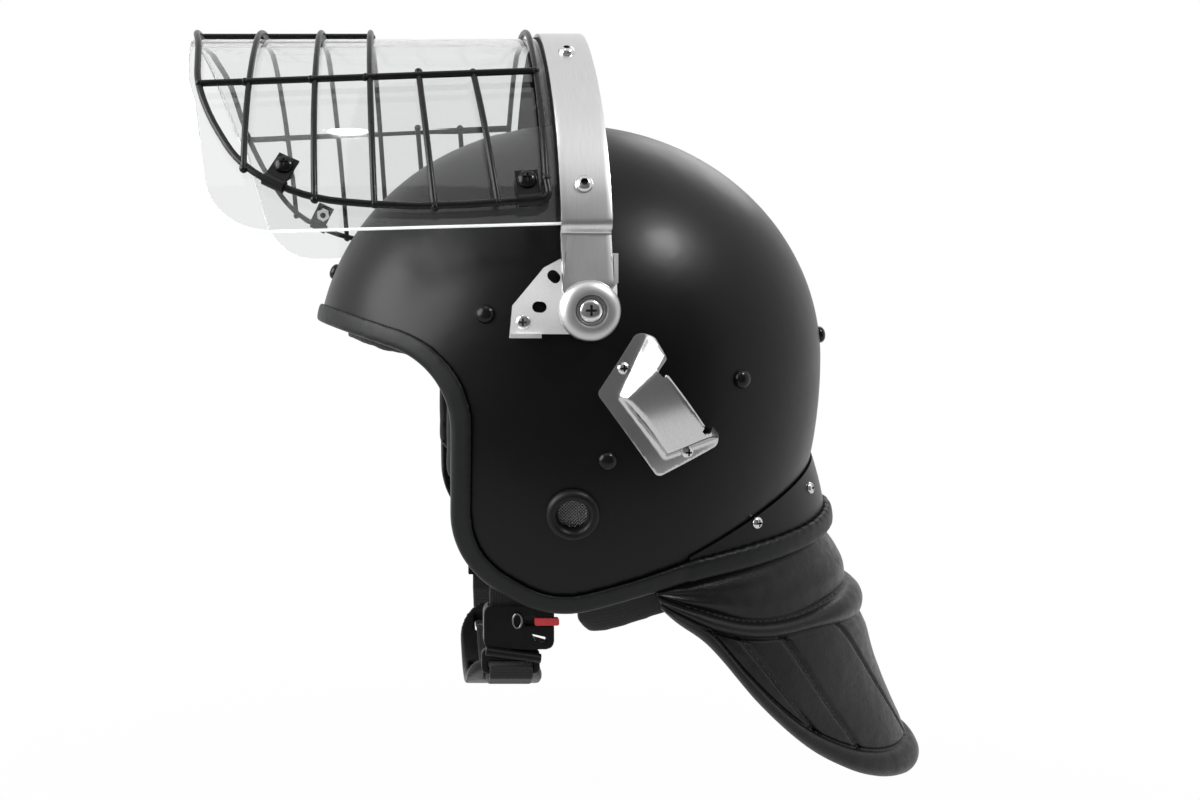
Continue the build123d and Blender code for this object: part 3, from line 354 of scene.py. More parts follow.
FINISH_BAND = brushed("band_aluminium", 0.60, 0.32, (30, 1, 30), 0.35, 0.003)
FINISH_DISC = brushed("disc_aluminium", 0.50, 0.42, (1, 1, 1), 0.5, 0.002)
FINISH_PLATE = brushed("quadrant_steel", 0.80, 0.48, (1, 14, 1), 0.3, 0.002)
FINISH_HOOK = brushed("hook_steel", 0.52, 0.20, (1, 1, 10), 0.5, 0.002)
FINISH_NICKEL = brushed("nickel", 0.60, 0.20, (1, 1, 1), 0.6, 0.002)
FINISH_BUSH = brushed("bush_metal", 0.50, 0.35, (20, 1, 1), 0.4)
# The recess metal is a painted shade: near-black metal for the dark inside a driver recess.
FINISH_RECESS_SHADE = brushed("screw_recess_painted_shade", 0.07, 0.50, (1, 1, 1), 0.4)
FINISH_RING = brushed("ring_wire", 0.20, 0.34, (1, 1, 1), 0.4)
FINISH_MESH = brushed("mesh_wire", 0.26, 0.45, (1, 1, 1), 0.4)
print("metals ready")

# %% [markdown]
# The visor is polycarbonate with a faint grey tint and glossy faces. Two near faces bend light
# one way and back, so what lies behind a thin clear wall hardly shifts: a low index of
# refraction gives that, and a full clear coat brings back the gloss. It casts no shadow here,
# because a path tracer would need far more samples to find the light that a clear sheet passes.

# %% Clear plastic
FINISH_CLEAR = finish("shield_clear", (0.865, 0.875, 0.87), 0.0, IOR=1.06,
                      Transmission_Weight=1.0, Coat_Weight=1.0, Coat_Roughness=0.05)
FINISH_RIM = finish("shield_rim", (0.90, 0.91, 0.91), 0.18, Transmission_Weight=0.5)
print("clear plastic ready")

# %% Leather, cloth, webbing and foam
LEATHER_CELL, FOAM_BEAD = 1.5, 2.6
WAVE_PER_M = 0.314


def leather():
    """Dark grained leather: small cells of wrinkles over a soft roll."""
    material = finish("leather", (0.0050, 0.0052, 0.0055), 0.42, Specular_IOR_Level=0.17,
                      Coat_Weight=0.10, Coat_Roughness=0.26)
    tree = material.node_tree
    cells = tree.nodes.new("ShaderNodeTexVoronoi")
    cells.feature = "DISTANCE_TO_EDGE"
    cells.inputs["Scale"].default_value = 1 / (LEATHER_CELL * MM)
    tree.links.new(own_place(tree), cells.inputs["Vector"])
    wrinkles = reckoned(tree, "MULTIPLY_ADD", cells.outputs["Distance"], 0.9, grain(material, 5))
    emboss(material, wrinkles, 0.18, 0.8)
    spread(material, grain(material, 3), 0.32, 0.46, "Roughness")
    return material


def woven(name, colour, pitch_mm, depth_mm, roughness=0.8):
    """Two crossed waves make an over and under weave."""
    material = finish(name, colour, roughness, Sheen_Weight=0.08, Specular_IOR_Level=0.25)
    tree = material.node_tree
    waves = []
    for axis in "XYZ":
        wave = tree.nodes.new("ShaderNodeTexWave")
        wave.wave_type = "BANDS"
        wave.bands_direction = axis
        wave.inputs["Scale"].default_value = WAVE_PER_M / (pitch_mm * MM)
        wave.inputs["Distortion"].default_value = 0.6
        tree.links.new(own_place(tree), wave.inputs["Vector"])
        waves.append(wave.outputs["Fac"])
    crossed = reckoned(tree, "MULTIPLY", waves[1], waves[2])
    weave = reckoned(tree, "MULTIPLY_ADD", waves[0], 0.5, crossed)
    emboss(material, weave, depth_mm)
    shades(material, weave, [c * 0.7 for c in colour], [min(1, c * 1.5) for c in colour])
    return material


def liner_foam():
    material = finish("foam", grey(0.02), 0.85)
    tree = material.node_tree
    beads = tree.nodes.new("ShaderNodeTexVoronoi")
    beads.inputs["Scale"].default_value = 1 / (FOAM_BEAD * MM)
    tree.links.new(own_place(tree), beads.inputs["Vector"])
    emboss(material, beads.outputs["Distance"], 0.35)
    shades(material, beads.outputs["Distance"], grey(0.026), grey(0.014))
    return material


FINISH_LEATHER = leather()
FINISH_PAD = woven("pad_cloth", grey(0.008), 1.1, 0.05)
FINISH_WEBBING = woven("webbing", grey(0.006), 1.5, 0.16, 0.65)
FINISH_FOAM = liner_foam()
FINISH_THREAD = woven("thread", grey(0.035), 0.5, 0.08, 0.7)
print("soft finishes ready")

# %% [markdown]
# ## Finishes on the pieces that keep their solid
# A rigid piece whose solid already has its true shape only needs its finish. A bevel in the
# shader would round every edge alike, so these pieces keep the edges of their solids, and only
# the bright sheet metal pieces further on are made again with a small real round.

# %% Dress the solids
DRESS = {
    "outer_shell": FINISH_PAINT, "rear_flare": FINISH_PAINT, "visor_shield": FINISH_CLEAR,
    "arch_gasket": FINISH_GASKET, "brow_seal": FINISH_GASKET, "arch_nuts": FINISH_NICKEL,
    "clip_nuts": FINISH_NICKEL, "grille_clips": FINISH_BUCKLE, "impact_liner": FINISH_FOAM,
    "quadrant_plate_left": FINISH_PLATE, "quadrant_plate_right": FINISH_PLATE,
    "quadrant_spacers": FINISH_BUSH, "pivot_bushes": FINISH_BUSH, "detent_pins": FINISH_BUSH,
    "friction_washers": FINISH_WASHER, "strap_anchors": FINISH_NICKEL,
    "strap_hangers": FINISH_NICKEL, "release_button": FINISH_RED,
}
for name, material in DRESS.items():
    piece = nodes[name]
    piece.data.materials.clear()
    piece.data.materials.append(material)
nodes["visor_shield"].visible_shadow = False
print("dressed", len(DRESS), "solids")

# %% Helpers for new pieces


def new_piece(name, points, faces, material, body, slot=None, replaces=(), smooth=True):
    """Mesh from points in millimetres that rides on a body and stands for its solids."""
    mesh = bpy.data.meshes.new(name)
    mesh.from_pydata([Vector(p) * MM for p in points], [], faces)
    mesh.validate()
    return settle(in_scene(name, mesh), material, body, replaces, smooth)


def settle(piece, material, body, replaces=(), smooth=True):
    """Finish, body and replaced solids of a piece."""
    piece.data.materials.clear()
    piece.data.materials.append(material)
    if smooth:
        piece.data.polygons.foreach_set("use_smooth", [True] * len(piece.data.polygons))
    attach(piece, body)
    if replaces:
        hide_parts(*replaces)
    return piece


def bake(piece):
    """Turn a piece with modifiers, or a curve, into a plain mesh."""
    bpy.context.view_layer.update()
    graph = bpy.context.evaluated_depsgraph_get()
    mesh = bpy.data.meshes.new_from_object(piece.evaluated_get(graph))
    if piece.type == "MESH":
        piece.modifiers.clear()
        piece.data = mesh
        return piece
    name = piece.name
    bpy.data.objects.remove(piece)
    return in_scene(name, mesh)


def from_bmesh(name, shape):
    """Mesh object made of a finished bmesh."""
    mesh = bpy.data.meshes.new(name)
    shape.to_mesh(mesh)
    shape.free()
    return in_scene(name, mesh)


def joined(name, pieces):
    """One mesh object from several."""
    merged = bmesh.new()
    for piece in pieces:
        merged.from_mesh(piece.data)
        bpy.data.objects.remove(piece)
    return from_bmesh(name, merged)


def lathe(profile, segments=64):
    """Points and faces of a profile of (radius, height) turned about Z, closed on the axis."""
    points = []
    rings = []
    for radius, height in profile:
        if radius < 1e-6:
            rings.append([len(points)])
            points.append((0, 0, height))
        else:
            rings.append(list(range(len(points), len(points) + segments)))
            for i in range(segments):
                turn = 2 * pi * i / segments
                points.append((radius * cos(turn), radius * sin(turn), height))
    faces = []
    for low, high in zip(rings, rings[1:]):
        for i in range(segments):
            j = (i + 1) % segments
            quad = [low[i % len(low)], low[j % len(low)], high[j % len(high)], high[i % len(high)]]
            faces.append(list(dict.fromkeys(quad)))
    return points, [f for f in faces if len(f) > 2]


def placed(points, matrix):
    """Points moved by a matrix."""
    return [matrix @ Vector(p) for p in points]


def facing(origin, out, up=(0, 0, 1)):
    """Matrix whose z axis points out and whose y axis is as near as can be to up."""
    z = Vector(out).normalized()
    x = Vector(up).cross(z).normalized()
    y = z.cross(x)
    rows = [(x[i], y[i], z[i], origin[i]) for i in range(3)]
    return Matrix((*rows, (0, 0, 0, 1)))


def mirrored(matrix):
    """The same place on the wearer's right."""
    return Matrix.Scale(-1, 4, (1, 0, 0)) @ matrix


def both_sides(made, places):
    """Points and faces of a left-side part at each place, with its mirror image."""
    points, faces = made[:2]
    parts = []
    for place in places:
        parts.append((placed(points, place), faces))
        parts.append((placed(points, mirrored(place)), [face[::-1] for face in faces]))
    return parts


def gathered(parts):
    """One list of points and faces from several (points, faces) pairs."""
    points, faces = [], []
    for some, polygons in parts:
        start = len(points)
        points += [tuple(p) for p in some]
        faces += [[start + i for i in polygon] for polygon in polygons]
    return points, faces


print("helpers ready")

# %% [markdown]
# ## The forms that the pieces share
# The shell is an ellipsoid in two halves, the visor a vault of three arcs a side. These few
# formulas give a point and a direction anywhere on them, so every small piece sits squarely.

# %% The shell's surface
SHELL_HALF = (116.0, 144.0)
SHELL_UP, SHELL_DOWN = 133.5, 200.0
SHELL_CENTRE = (6.0, -25.0)


def shell_out(x, y, z):
    """Direction straight out of the shell at a point on it."""
    tall = SHELL_UP if z > SHELL_CENTRE[1] else SHELL_DOWN
    return Vector((x / SHELL_HALF[0] ** 2, (y - SHELL_CENTRE[0]) / SHELL_HALF[1] ** 2,
                   (z - SHELL_CENTRE[1]) / tall**2)).normalized()


def shell_point(y, z, lift=0.0):
    """Point on the left side of the shell, lifted out of it."""
    tall = SHELL_UP if z > SHELL_CENTRE[1] else SHELL_DOWN
    along = (y - SHELL_CENTRE[0]) / SHELL_HALF[1]
    high = (z - SHELL_CENTRE[1]) / tall
    x = SHELL_HALF[0] * sqrt(max(0.0, 1 - along**2 - high**2))
    return Vector((x, y, z)) + shell_out(x, y, z) * lift


def on_shell(y, z, lift=0.0):
    """Matrix on the left side of the shell that faces out."""
    point = shell_point(y, z)
    out = shell_out(*point)
    return facing(point + out * lift, out)


# %% The visor's vault
CROWN_Z, CROWN_R, SHOULDER_R, SIDE_R = 154.0, 82.0, 184.0, 144.0
TURNS = (36.0, 58.0, 78.0)
TAPER = 10.0
VISOR_REAR, VISOR_FRONT = 12.0, -215.0
VISOR_WALL = 4.0


def vault_arcs(y):
    """Centres and radii of the crown, shoulder and side arcs at one station."""
    crown_r = CROWN_R - TAPER * (VISOR_REAR - y) / (VISOR_REAR - VISOR_FRONT)
    arcs = [(0.0, CROWN_Z - crown_r, crown_r)]
    for turn, radius in zip(TURNS, (SHOULDER_R, SIDE_R)):
        x, z, old = arcs[-1]
        step = old - radius
        arcs.append((x + step * sin(radians(turn)), z + step * cos(radians(turn)), radius))
    return arcs


def vault_point(y, turn, lift):
    """Point of the lifted vault at a turn from its crown; past the last arc's end it keeps to that
    arc.
    """
    arcs = vault_arcs(y)
    which = 0 if turn <= TURNS[0] else 1 if turn <= TURNS[1] else 2
    x, z, radius = arcs[which]
    reach = radius + lift
    return Vector((x + reach * sin(radians(turn)), y, z + reach * cos(radians(turn))))


def vault_at(y, z, lift):
    """Point of the left side of the vault at a height, and its turn."""
    for (x, centre_z, radius), limit in zip(vault_arcs(y), TURNS):
        reach = radius + lift
        if z >= centre_z + reach * cos(radians(limit)):
            turn = degrees(acos(min(1.0, (z - centre_z) / reach)))
            return Vector((x + reach * sin(radians(turn)), y, z)), turn
    end = vault_point(y, TURNS[2], lift)
    return Vector((end.x + (end.z - z) / tan(radians(TURNS[2])), y, z)), TURNS[2]


def vault_out(turn):
    """Direction straight out of the vault."""
    spread_x = cos(radians(turn - TURNS[0])) - cos(radians(turn))
    lean = spread_x * TAPER / (VISOR_REAR - VISOR_FRONT)
    return Vector((sin(radians(turn)), -lean, cos(radians(turn)))).normalized()


print("crown of the vault", vault_point(0, 0, 0))

# %% [markdown]
# ## Wire grille
# On the real visor these are steel rods, bent to the vault, spot welded where they cross and
# dipped in black plastic. A curve with a round bevel is the natural way to draw a rod. The
# coating fills each weld, so a small swollen bead goes over every crossing.

# %% Bent rods
WIRE_R = 1.75
HOOP_R = 1.6
WELD_STEP = 0.9
WIRE_LIFT = VISOR_WALL + 3.4
LOWER_WIRE = [(-17.6, 53.0), (-80, 48.6), (-132, 53.2), (-165, 69.0), (-183, 96.0)]
FRONT_WIRE = [(-192.5, 49.0), (-198.5, 36.0), (-203.5, 22.0), (-206.0, 8.0)]
HOOPS = [(-163.7, -168.0), (-129.0, -134.5), (-100.5, -106.6)]
SIDE_BARS = [(-72.0, -79.5), (-42.0, -51.5)]
LONG_REAR, LONG_FRONT = (-19.5, 46.0), (-191.0, 49.5)
REAR_HOOP_Y = -19.0
REAR_TOP_Z = 63.0
CHORD_RISE = 0.6
REAR_BEND = 4.0
HOOP_STEPS = 28


def rounded_route(corners, radii):
    """Points along straight runs whose corners are rounded to the radii given."""
    route = [Vector(corners[0])]
    for before, here, after, radius in zip(corners, corners[1:], corners[2:], radii):
        here = Vector(here)
        into = (Vector(before) - here).normalized()
        onward = (Vector(after) - here).normalized()
        half = into.angle(onward) / 2
        reach = radius / tan(half)
        centre = here + (into + onward).normalized() * (radius / sin(half))
        start, end = here + into * reach - centre, here + onward * reach - centre
        steps = max(2, ceil(degrees(start.angle(end)) / 5))
        for i in range(steps + 1):
            route.append(centre + start.normalized().slerp(end.normalized(), i / steps) * radius)
    route.append(Vector(corners[-1]))
    return route


def bend_radii(corners):
    """The largest bend at each inner corner that leaves its runs a straight middle."""
    radii = []
    for before, here, after in zip(corners, corners[1:], corners[2:]):
        into, onward = Vector(here) - Vector(before), Vector(after) - Vector(here)
        half = into.angle(onward) / 2
        radii.append(0.45 * min(into.length, onward.length) / tan(half))
    return radii


def rod(name, route, radius, sides=6):
    """Round rod along points in millimetres, as a mesh with closed ends."""
    curve = bpy.data.curves.new(name, "CURVE")
    curve.dimensions = "3D"
    curve.bevel_depth = radius * MM
    curve.bevel_resolution = sides
    curve.use_fill_caps = True
    spline = curve.splines.new("POLY")
    spline.points.add(len(route) - 1)
    for point, place in zip(spline.points, route):
        point.co = (*(Vector(place) * MM), 1)
    return bake(in_scene(name, curve))


def on_lower_wire(y):
    """Point of the lower wire at a station, and the wire's direction to the rear."""
    for near, far in zip(LOWER_WIRE, LOWER_WIRE[1:]):
        if far[0] <= y <= near[0]:
            start, end = vault_at(*near, WIRE_LIFT)[0], vault_at(*far, WIRE_LIFT)[0]
            share = (y - near[0]) / (far[0] - near[0])
            return start.lerp(end, share), (start - end).normalized()


def hoop_half(low_y, top_y, top_turn, foot_z):
    """Route down the left side, leaning from the top's y to the foot's."""
    station = (low_y + top_y) / 2
    foot_turn = vault_at(station, foot_z, WIRE_LIFT)[1]
    top_z = vault_point(station, top_turn, WIRE_LIFT).z
    route = []
    for i in range(HOOP_STEPS + 1):
        turn = top_turn + (foot_turn - top_turn) * i / HOOP_STEPS
        point = vault_point(station, turn, WIRE_LIFT)
        share = (top_z - point.z) / (top_z - foot_z)
        route.append(Vector((point.x, top_y + (low_y - top_y) * share, point.z)))
    return route


def flipped(route):
    """The same route on the wearer's right, run backwards."""
    return [Vector((-p.x, p.y, p.z)) for p in reversed(route)]


def whole_route(half):
    """Route across the crown from a half that starts there."""
    return flipped(half)[:-1] + half


def edge_route():
    """Round the whole edge: down from the rear hoop, along one side, across the front and back."""
    left = [vault_at(REAR_HOOP_Y, REAR_TOP_Z, WIRE_LIFT)[0]]
    left += [vault_at(y, z, WIRE_LIFT)[0] for y, z in LOWER_WIRE]
    left += [vault_point(y, turn, WIRE_LIFT + CHORD_RISE) for y, turn in FRONT_WIRE]
    corners = left + flipped(left)
    radii = bend_radii(corners)
    radii[0] = radii[-1] = REAR_BEND
    return rounded_route(corners, radii)


rods = []
welds = []
rear_half = hoop_half(REAR_HOOP_Y, REAR_HOOP_Y, 0, REAR_TOP_Z)
rods.append(rod("rod", whole_route(rear_half), HOOP_R))
for low_y, top_y in HOOPS:
    half = hoop_half(low_y, top_y, 0, on_lower_wire(low_y)[0].z)
    rods.append(rod("rod", whole_route(half), HOOP_R))
    welds += [half[-1], Vector((0, half[0].y, half[0].z + WELD_STEP / 2))]
long_ends = [vault_point(*end, WIRE_LIFT + WELD_STEP) for end in (LONG_REAR, LONG_FRONT)]
for low_y, top_y in SIDE_BARS:
    half = hoop_half(low_y, top_y, LONG_REAR[1], on_lower_wire(low_y)[0].z)
    rods += [rod("rod", half, HOOP_R), rod("rod", flipped(half), HOOP_R)]
    welds += [half[-1], half[0]]
for low_y, top_y in HOOPS:
    across = (top_y - LONG_REAR[0]) / (LONG_FRONT[0] - LONG_REAR[0])
    welds.append(long_ends[0].lerp(long_ends[1], across))
welds += [long_ends[0], long_ends[1], rear_half[-1]]
rods += [rod("rod", long_ends, WIRE_R), rod("rod", flipped(long_ends), WIRE_R)]
crown_lift = CROWN_Z + WIRE_LIFT + WELD_STEP
crown_ends = [(0, HOOPS[-1][1], crown_lift), (0, FRONT_WIRE[-1][0], crown_lift)]
rods.append(rod("rod", crown_ends, WIRE_R))
rods.append(rod("rod", edge_route(), WIRE_R))
print("rods", len(rods), "welds", len(welds))

# %% Weld beads
WELD_R, LUMPS = 2.15, 0.16


def bead(point, radius):
    """Small swollen lump over a crossing."""
    lump = bmesh.new()
    bmesh.ops.create_icosphere(lump, subdivisions=2, radius=radius * MM)
    for vertex in lump.verts:
        vertex.co *= 1 + LUMPS * noise.noise(Vector(point) * 0.7 + vertex.co * 700)
        vertex.co += Vector(point) * MM
    return from_bmesh("bead", lump)


beads = [bead(p, WELD_R) for p in welds] + [bead((-p[0], p[1], p[2]), WELD_R) for p in welds]
grille = joined("grille", rods + beads)
settle(grille, FINISH_WIRE, "visor", ["wire_grille"])
print("grille faces", len(grille.data.polygons))

# %% [markdown]
# ## Rim of the shield
# The cut edge of a clear sheet is polished, and light that runs inside the sheet comes out there,
# so it shows as a bright line. A thin bright bead that follows the same outline on the vault
# gives that line without the many light bounces that the real effect needs.

# %% Bead along the cut edge
SHIELD_SIDE = [(12.0, 42.0), (-178.0, 37.0), (-193.0, 106.0)]
SHIELD_CORNER_R = 34.0
SHIELD_FRONT_R, SHIELD_REACH = 272.0, 208.0
SHIELD_RIM_LIFT, SHIELD_RIM_R = 2.9, 0.75
SIDE_MEETS_FRONT, FRONT_STATION = (-198.0, 118.0), -200.0
SIDE_STEPS, FRONT_STEPS = 24, 26


def shield_rim_half():
    """Route from the crown's front, down the left front edge and back along the lower edge."""
    top_turn = vault_at(*SIDE_MEETS_FRONT, SHIELD_RIM_LIFT)[1]
    half = []
    for i in range(FRONT_STEPS + 1):
        turn = top_turn * i / FRONT_STEPS
        x = vault_point(FRONT_STATION, turn, SHIELD_RIM_LIFT).x
        y = SHIELD_FRONT_R - SHIELD_REACH - sqrt(SHIELD_FRONT_R**2 - x**2)
        half.append(vault_point(y, turn, SHIELD_RIM_LIFT))
    outline = rounded_route([(y, z, 0) for y, z in reversed(SHIELD_SIDE)], [SHIELD_CORNER_R])
    side = [outline[-2].lerp(outline[-1], i / SIDE_STEPS) for i in range(1, SIDE_STEPS + 1)]
    return half + [vault_at(p.x, p.y, SHIELD_RIM_LIFT)[0] for p in outline[:-1] + side]


rim_half = shield_rim_half()
shield_rim = rod("shield_rim_bead", whole_route(rim_half), SHIELD_RIM_R, 3)
settle(shield_rim, FINISH_RIM, "visor")
shield_rim.visible_shadow = False
print("rim points", len(rim_half))

# %% [markdown]
# ## Rubber edge trim
# The real trim is one extruded rubber channel pushed over the shell's rim, so its section is
# round shouldered all the way. Remeshing the solid finely and relaxing the mesh rolls the square
# corners over evenly, which a bevel can't do where the band meets itself at the flare. Round the
# flare the channel also holds the leather, so there it swells along its normals, and a second
# easing smooths the steps that the swelling brings out.

# %% Roll the trim's corners


def rolled_copy(name, node, voxel_mm, relax, factor=0.5):
    """Fine remesh of a solid with softened corners."""
    piece = in_scene(name, nodes[node].data.copy())
    weld = piece.modifiers.new("weld", "WELD")
    weld.merge_threshold = 0.00001
    remesh = piece.modifiers.new("remesh", "REMESH")
    remesh.mode = "VOXEL"
    remesh.voxel_size = voxel_mm * MM
    ease = piece.modifiers.new("ease", "SMOOTH")
    ease.iterations = relax
    ease.factor = factor
    return bake(piece)


TRIM_VOXEL, TRIM_RELAX, TRIM_CALM = 0.9, 26, 14
SWELL, SWELL_FROM, SWELL_OVER = 1.3, 30.0, 60.0
trim = rolled_copy("rubber_trim", "edge_trim", TRIM_VOXEL, TRIM_RELAX)
normals = [v.normal.copy() for v in trim.data.vertices]
for vertex, normal in zip(trim.data.vertices, normals):
    share = min(1.0, max(0.0, (vertex.co.y / MM - SWELL_FROM) / SWELL_OVER))
    vertex.co += normal * (SWELL * share * MM)
calm = trim.modifiers.new("calm", "SMOOTH")
calm.iterations, calm.factor = TRIM_CALM, 0.5
trim = bake(trim)
settle(trim, FINISH_RUBBER, "helmet", ["edge_trim"])
print("trim faces", len(trim.data.polygons))

# %% [markdown]
# ## Aluminium arch
# The real arch is one strip of aluminium, bent over the visor's rear edge, joggled inwards below
# the lower bolt and run straight down to the pivots. It is drawn as one long grid of quads: the
# rows follow the bends, the columns run across the strip, and a solidify modifier gives it its
# 2 mm with a small rounded edge.

# %% Bend the strip
BAND_FRONT, BAND_REAR = -12.4, 11.6
BAND_WALL = 2.0
BAND_LIFT = VISOR_WALL + 0.8
ARM_X, ARM_LEAN, ARM_FLAT_Z, ARM_STEP_Z, BAND_END_Z = 122.8, 0.255, 12.0, 37.5, 41.0
JOGGLE_R, ARM_BEND_R = 3.5, 20
PIVOT_FOOT = -12.0
ARCH_STATIONS, ARCH_STEPS = 9, 40


def arch_half(y):
    """Route of the strip's inside at one station, from the crown to the foot of the left arm."""
    end_turn = vault_at(y, BAND_END_Z + 4, BAND_LIFT)[1]
    route = [vault_point(y, end_turn * i / ARCH_STEPS, BAND_LIFT) for i in range(ARCH_STEPS + 1)]
    step_x = ARM_X - ARM_LEAN * (ARM_STEP_Z - ARM_FLAT_Z)
    band_end = vault_at(y, BAND_END_Z, BAND_LIFT)[0]
    arm_x = ARM_X - 1
    corners = [route[-1], band_end, (step_x - 1, y, ARM_STEP_Z), (arm_x, y, ARM_FLAT_Z),
               (arm_x, y, PIVOT_FOOT)]
    return route[:-1] + rounded_route(corners, [JOGGLE_R, JOGGLE_R, ARM_BEND_R])


def foot_rounded(point):
    """Point of the strip, drawn in below the pivots so that each foot ends in a half round."""
    if point.z >= 0:
        return point
    middle, half_width = (BAND_FRONT + BAND_REAR) / 2, (BAND_REAR - BAND_FRONT) / 2
    narrow = sqrt(max(0.05, 1 - (point.z / half_width) ** 2))
    return Vector((point.x, middle + (point.y - middle) * narrow, point.z))


def arch_grid():
    """Points and quads of the strip: one row of points for each station across it."""
    points, faces = [], []
    for i in range(ARCH_STATIONS):
        share = i / (ARCH_STATIONS - 1)
        route = whole_route(arch_half(BAND_REAR + (BAND_FRONT - BAND_REAR) * share))
        points += [foot_rounded(point) for point in route]
    rows = len(points) // ARCH_STATIONS
    for i in range(ARCH_STATIONS - 1):
        for first in range(i * rows, (i + 1) * rows - 1):
            faces.append((first, first + 1, first + rows + 1, first + rows))
    return points, faces


def sheet_metal(piece, wall_mm, round_mm, sharpest):
    """Give a surface its wall, inwards, and a small real round on the cut edges."""
    wall = piece.modifiers.new("wall", "SOLIDIFY")
    wall.thickness = wall_mm * MM
    wall.offset = -1.0
    edge = piece.modifiers.new("edge", "BEVEL")
    edge.width = round_mm * MM
    edge.segments = 2
    edge.limit_method = "ANGLE"
    edge.angle_limit = radians(sharpest)


arch = new_piece("arch_band", *arch_grid(), FINISH_BAND, "visor", "band_aluminium", ["visor_arch"])
sheet_metal(arch, wall_mm=BAND_WALL, round_mm=0.35, sharpest=50)
print("arch faces", len(arch.data.polygons))

# %% [markdown]
# ## Screws, bolts and rivets
# Small fasteners sell the scale of a product picture. Each is turned on a lathe from its section,
# and its driver recess is cut with real walls, because a painted cross goes flat from the side.
# The faces inside a recess get a darker metal, a painted shade for the dark that gathers in a real
# recess.

# %% Turned heads with recesses
HEAD_SIDES, HEAD_GAP = 40, 0.05
RECESS_DEPTH, RECESS_REACH = 0.2, 0.7


def domed_profile(radius, rise, steps=7):
    """Section of a low round head that stands on z = 0."""
    profile = []
    for i in range(steps + 1):
        turn = pi / 2 * i / steps
        profile.append((radius * cos(turn), rise * sin(turn)))
    return [(radius, -0.4)] + profile[:-1] + [(0, rise)]


def prism(start, end):
    """Points and faces of a solid between two loops with the same number of points."""
    count = len(start)
    faces = [list(range(count)), list(range(2 * count - 1, count - 1, -1))]
    faces += [[i, i + count, (i + 1) % count + count, (i + 1) % count] for i in range(count)]
    return [*start, *end], faces


def cutter(outline, depth, top):
    """Tapered prism that cuts a recess down from the top."""
    return prism([(x * 1.1, y * 1.1, top + 1) for x, y in outline],
                 [(x * 0.7, y * 0.7, top - depth) for x, y in outline])


def cross_outline(arm, half):
    """Cross with straight arms, given by an arm's reach and half its width."""
    quarter = [(arm, -half), (arm, half), (half, half)]
    outline = []
    for i in range(4):
        c, s = cos(pi / 2 * i), sin(pi / 2 * i)
        outline += [(x * c - y * s, x * s + y * c) for x, y in quarter]
    return outline


def hex_outline(radius):
    """Six-sided socket."""
    return [(radius * cos(pi / 3 * i), radius * sin(pi / 3 * i)) for i in range(6)]


def plain_object(name, points, faces):
    """Mesh object with its points as given."""
    mesh = bpy.data.meshes.new(name)
    mesh.from_pydata([tuple(p) for p in points], [], faces)
    return in_scene(name, mesh)


def cut_with(piece, tool):
    """Cut one solid out of another and throw the tool away."""
    cut = piece.modifiers.new("cut", "BOOLEAN")
    cut.object = tool
    cut.operation = "DIFFERENCE"
    cut.solver = "EXACT"
    bake(piece)
    bpy.data.objects.remove(tool)


def sunk(spot, radius, rise):
    """Whether a spot lies well below the dome, in the recess."""
    reach = hypot(spot.x, spot.y)
    dome = rise * sqrt(max(0.0, 1 - (reach / radius) ** 2))
    return -RECESS_DEPTH < spot.z < dome - RECESS_DEPTH and reach < radius * RECESS_REACH


def turned_head(radius, rise, outline, depth):
    """Points and faces of a head with a recess, and which recess faces get the painted shade."""
    points, faces = lathe(domed_profile(radius, rise), HEAD_SIDES)
    head = plain_object("head", points, [*faces, list(range(HEAD_SIDES - 1, -1, -1))])
    cut_with(head, plain_object("tool", *cutter(outline, depth, rise)))
    shapes = head.data.polygons
    made = ([v.co.copy() for v in head.data.vertices], [list(p.vertices) for p in shapes],
            [int(sunk(p.center, radius, rise)) for p in shapes])
    bpy.data.objects.remove(head)
    return made


def fasteners(name, head, places, material, body, slot, solid):
    """The same head at several left-side places and their mirror images, as one piece."""
    parts = both_sides(head, places)
    piece = new_piece(name, *gathered(parts), material, body, slot, [solid], smooth=False)
    # Faces in the recess get the darker metal that paints its shade.
    piece.data.materials.append(FINISH_RECESS_SHADE)
    piece.data.polygons.foreach_set("material_index", head[2] * len(parts))
    shade_by_angle(piece)


def shade_by_angle(piece, limit=35):
    """Smooth shading that keeps real edges sharp."""
    piece.data.polygons.foreach_set("use_smooth", [True] * len(piece.data.polygons))
    piece.data.set_sharp_from_angle(angle=radians(limit))


# %% Rivets on the shell
RIVETS = [(-47.3, -1.4), (10.6, -71.6), (79.0, -33.3), (144.5, -12.4)]
BROW_RIVET_Z = 24.0
RIVET_PROFILE = [(4.7, -0.3), (4.7, 0.3), (4.45, 1.2), (3.8, 2.1), (2.7, 2.8), (1.4, 3.2), (0, 3.3)]
rivet_head = lathe(RIVET_PROFILE, HEAD_SIDES)
brow_high = (BROW_RIVET_Z - SHELL_CENTRE[1]) / SHELL_UP
brow_y = SHELL_CENTRE[0] - SHELL_HALF[1] * sqrt(1 - brow_high**2)
brow_place = facing((0, brow_y, BROW_RIVET_Z), shell_out(0, brow_y, BROW_RIVET_Z))
parts = both_sides(rivet_head, [on_shell(y, z, HEAD_GAP) for y, z in RIVETS])
parts.append((placed(rivet_head[0], brow_place), rivet_head[1]))
new_piece("shell_rivet_heads", *gathered(parts), FINISH_RIVET, "helmet", "black_rivet",
          ["shell_rivets"])
print("rivets", len(parts))

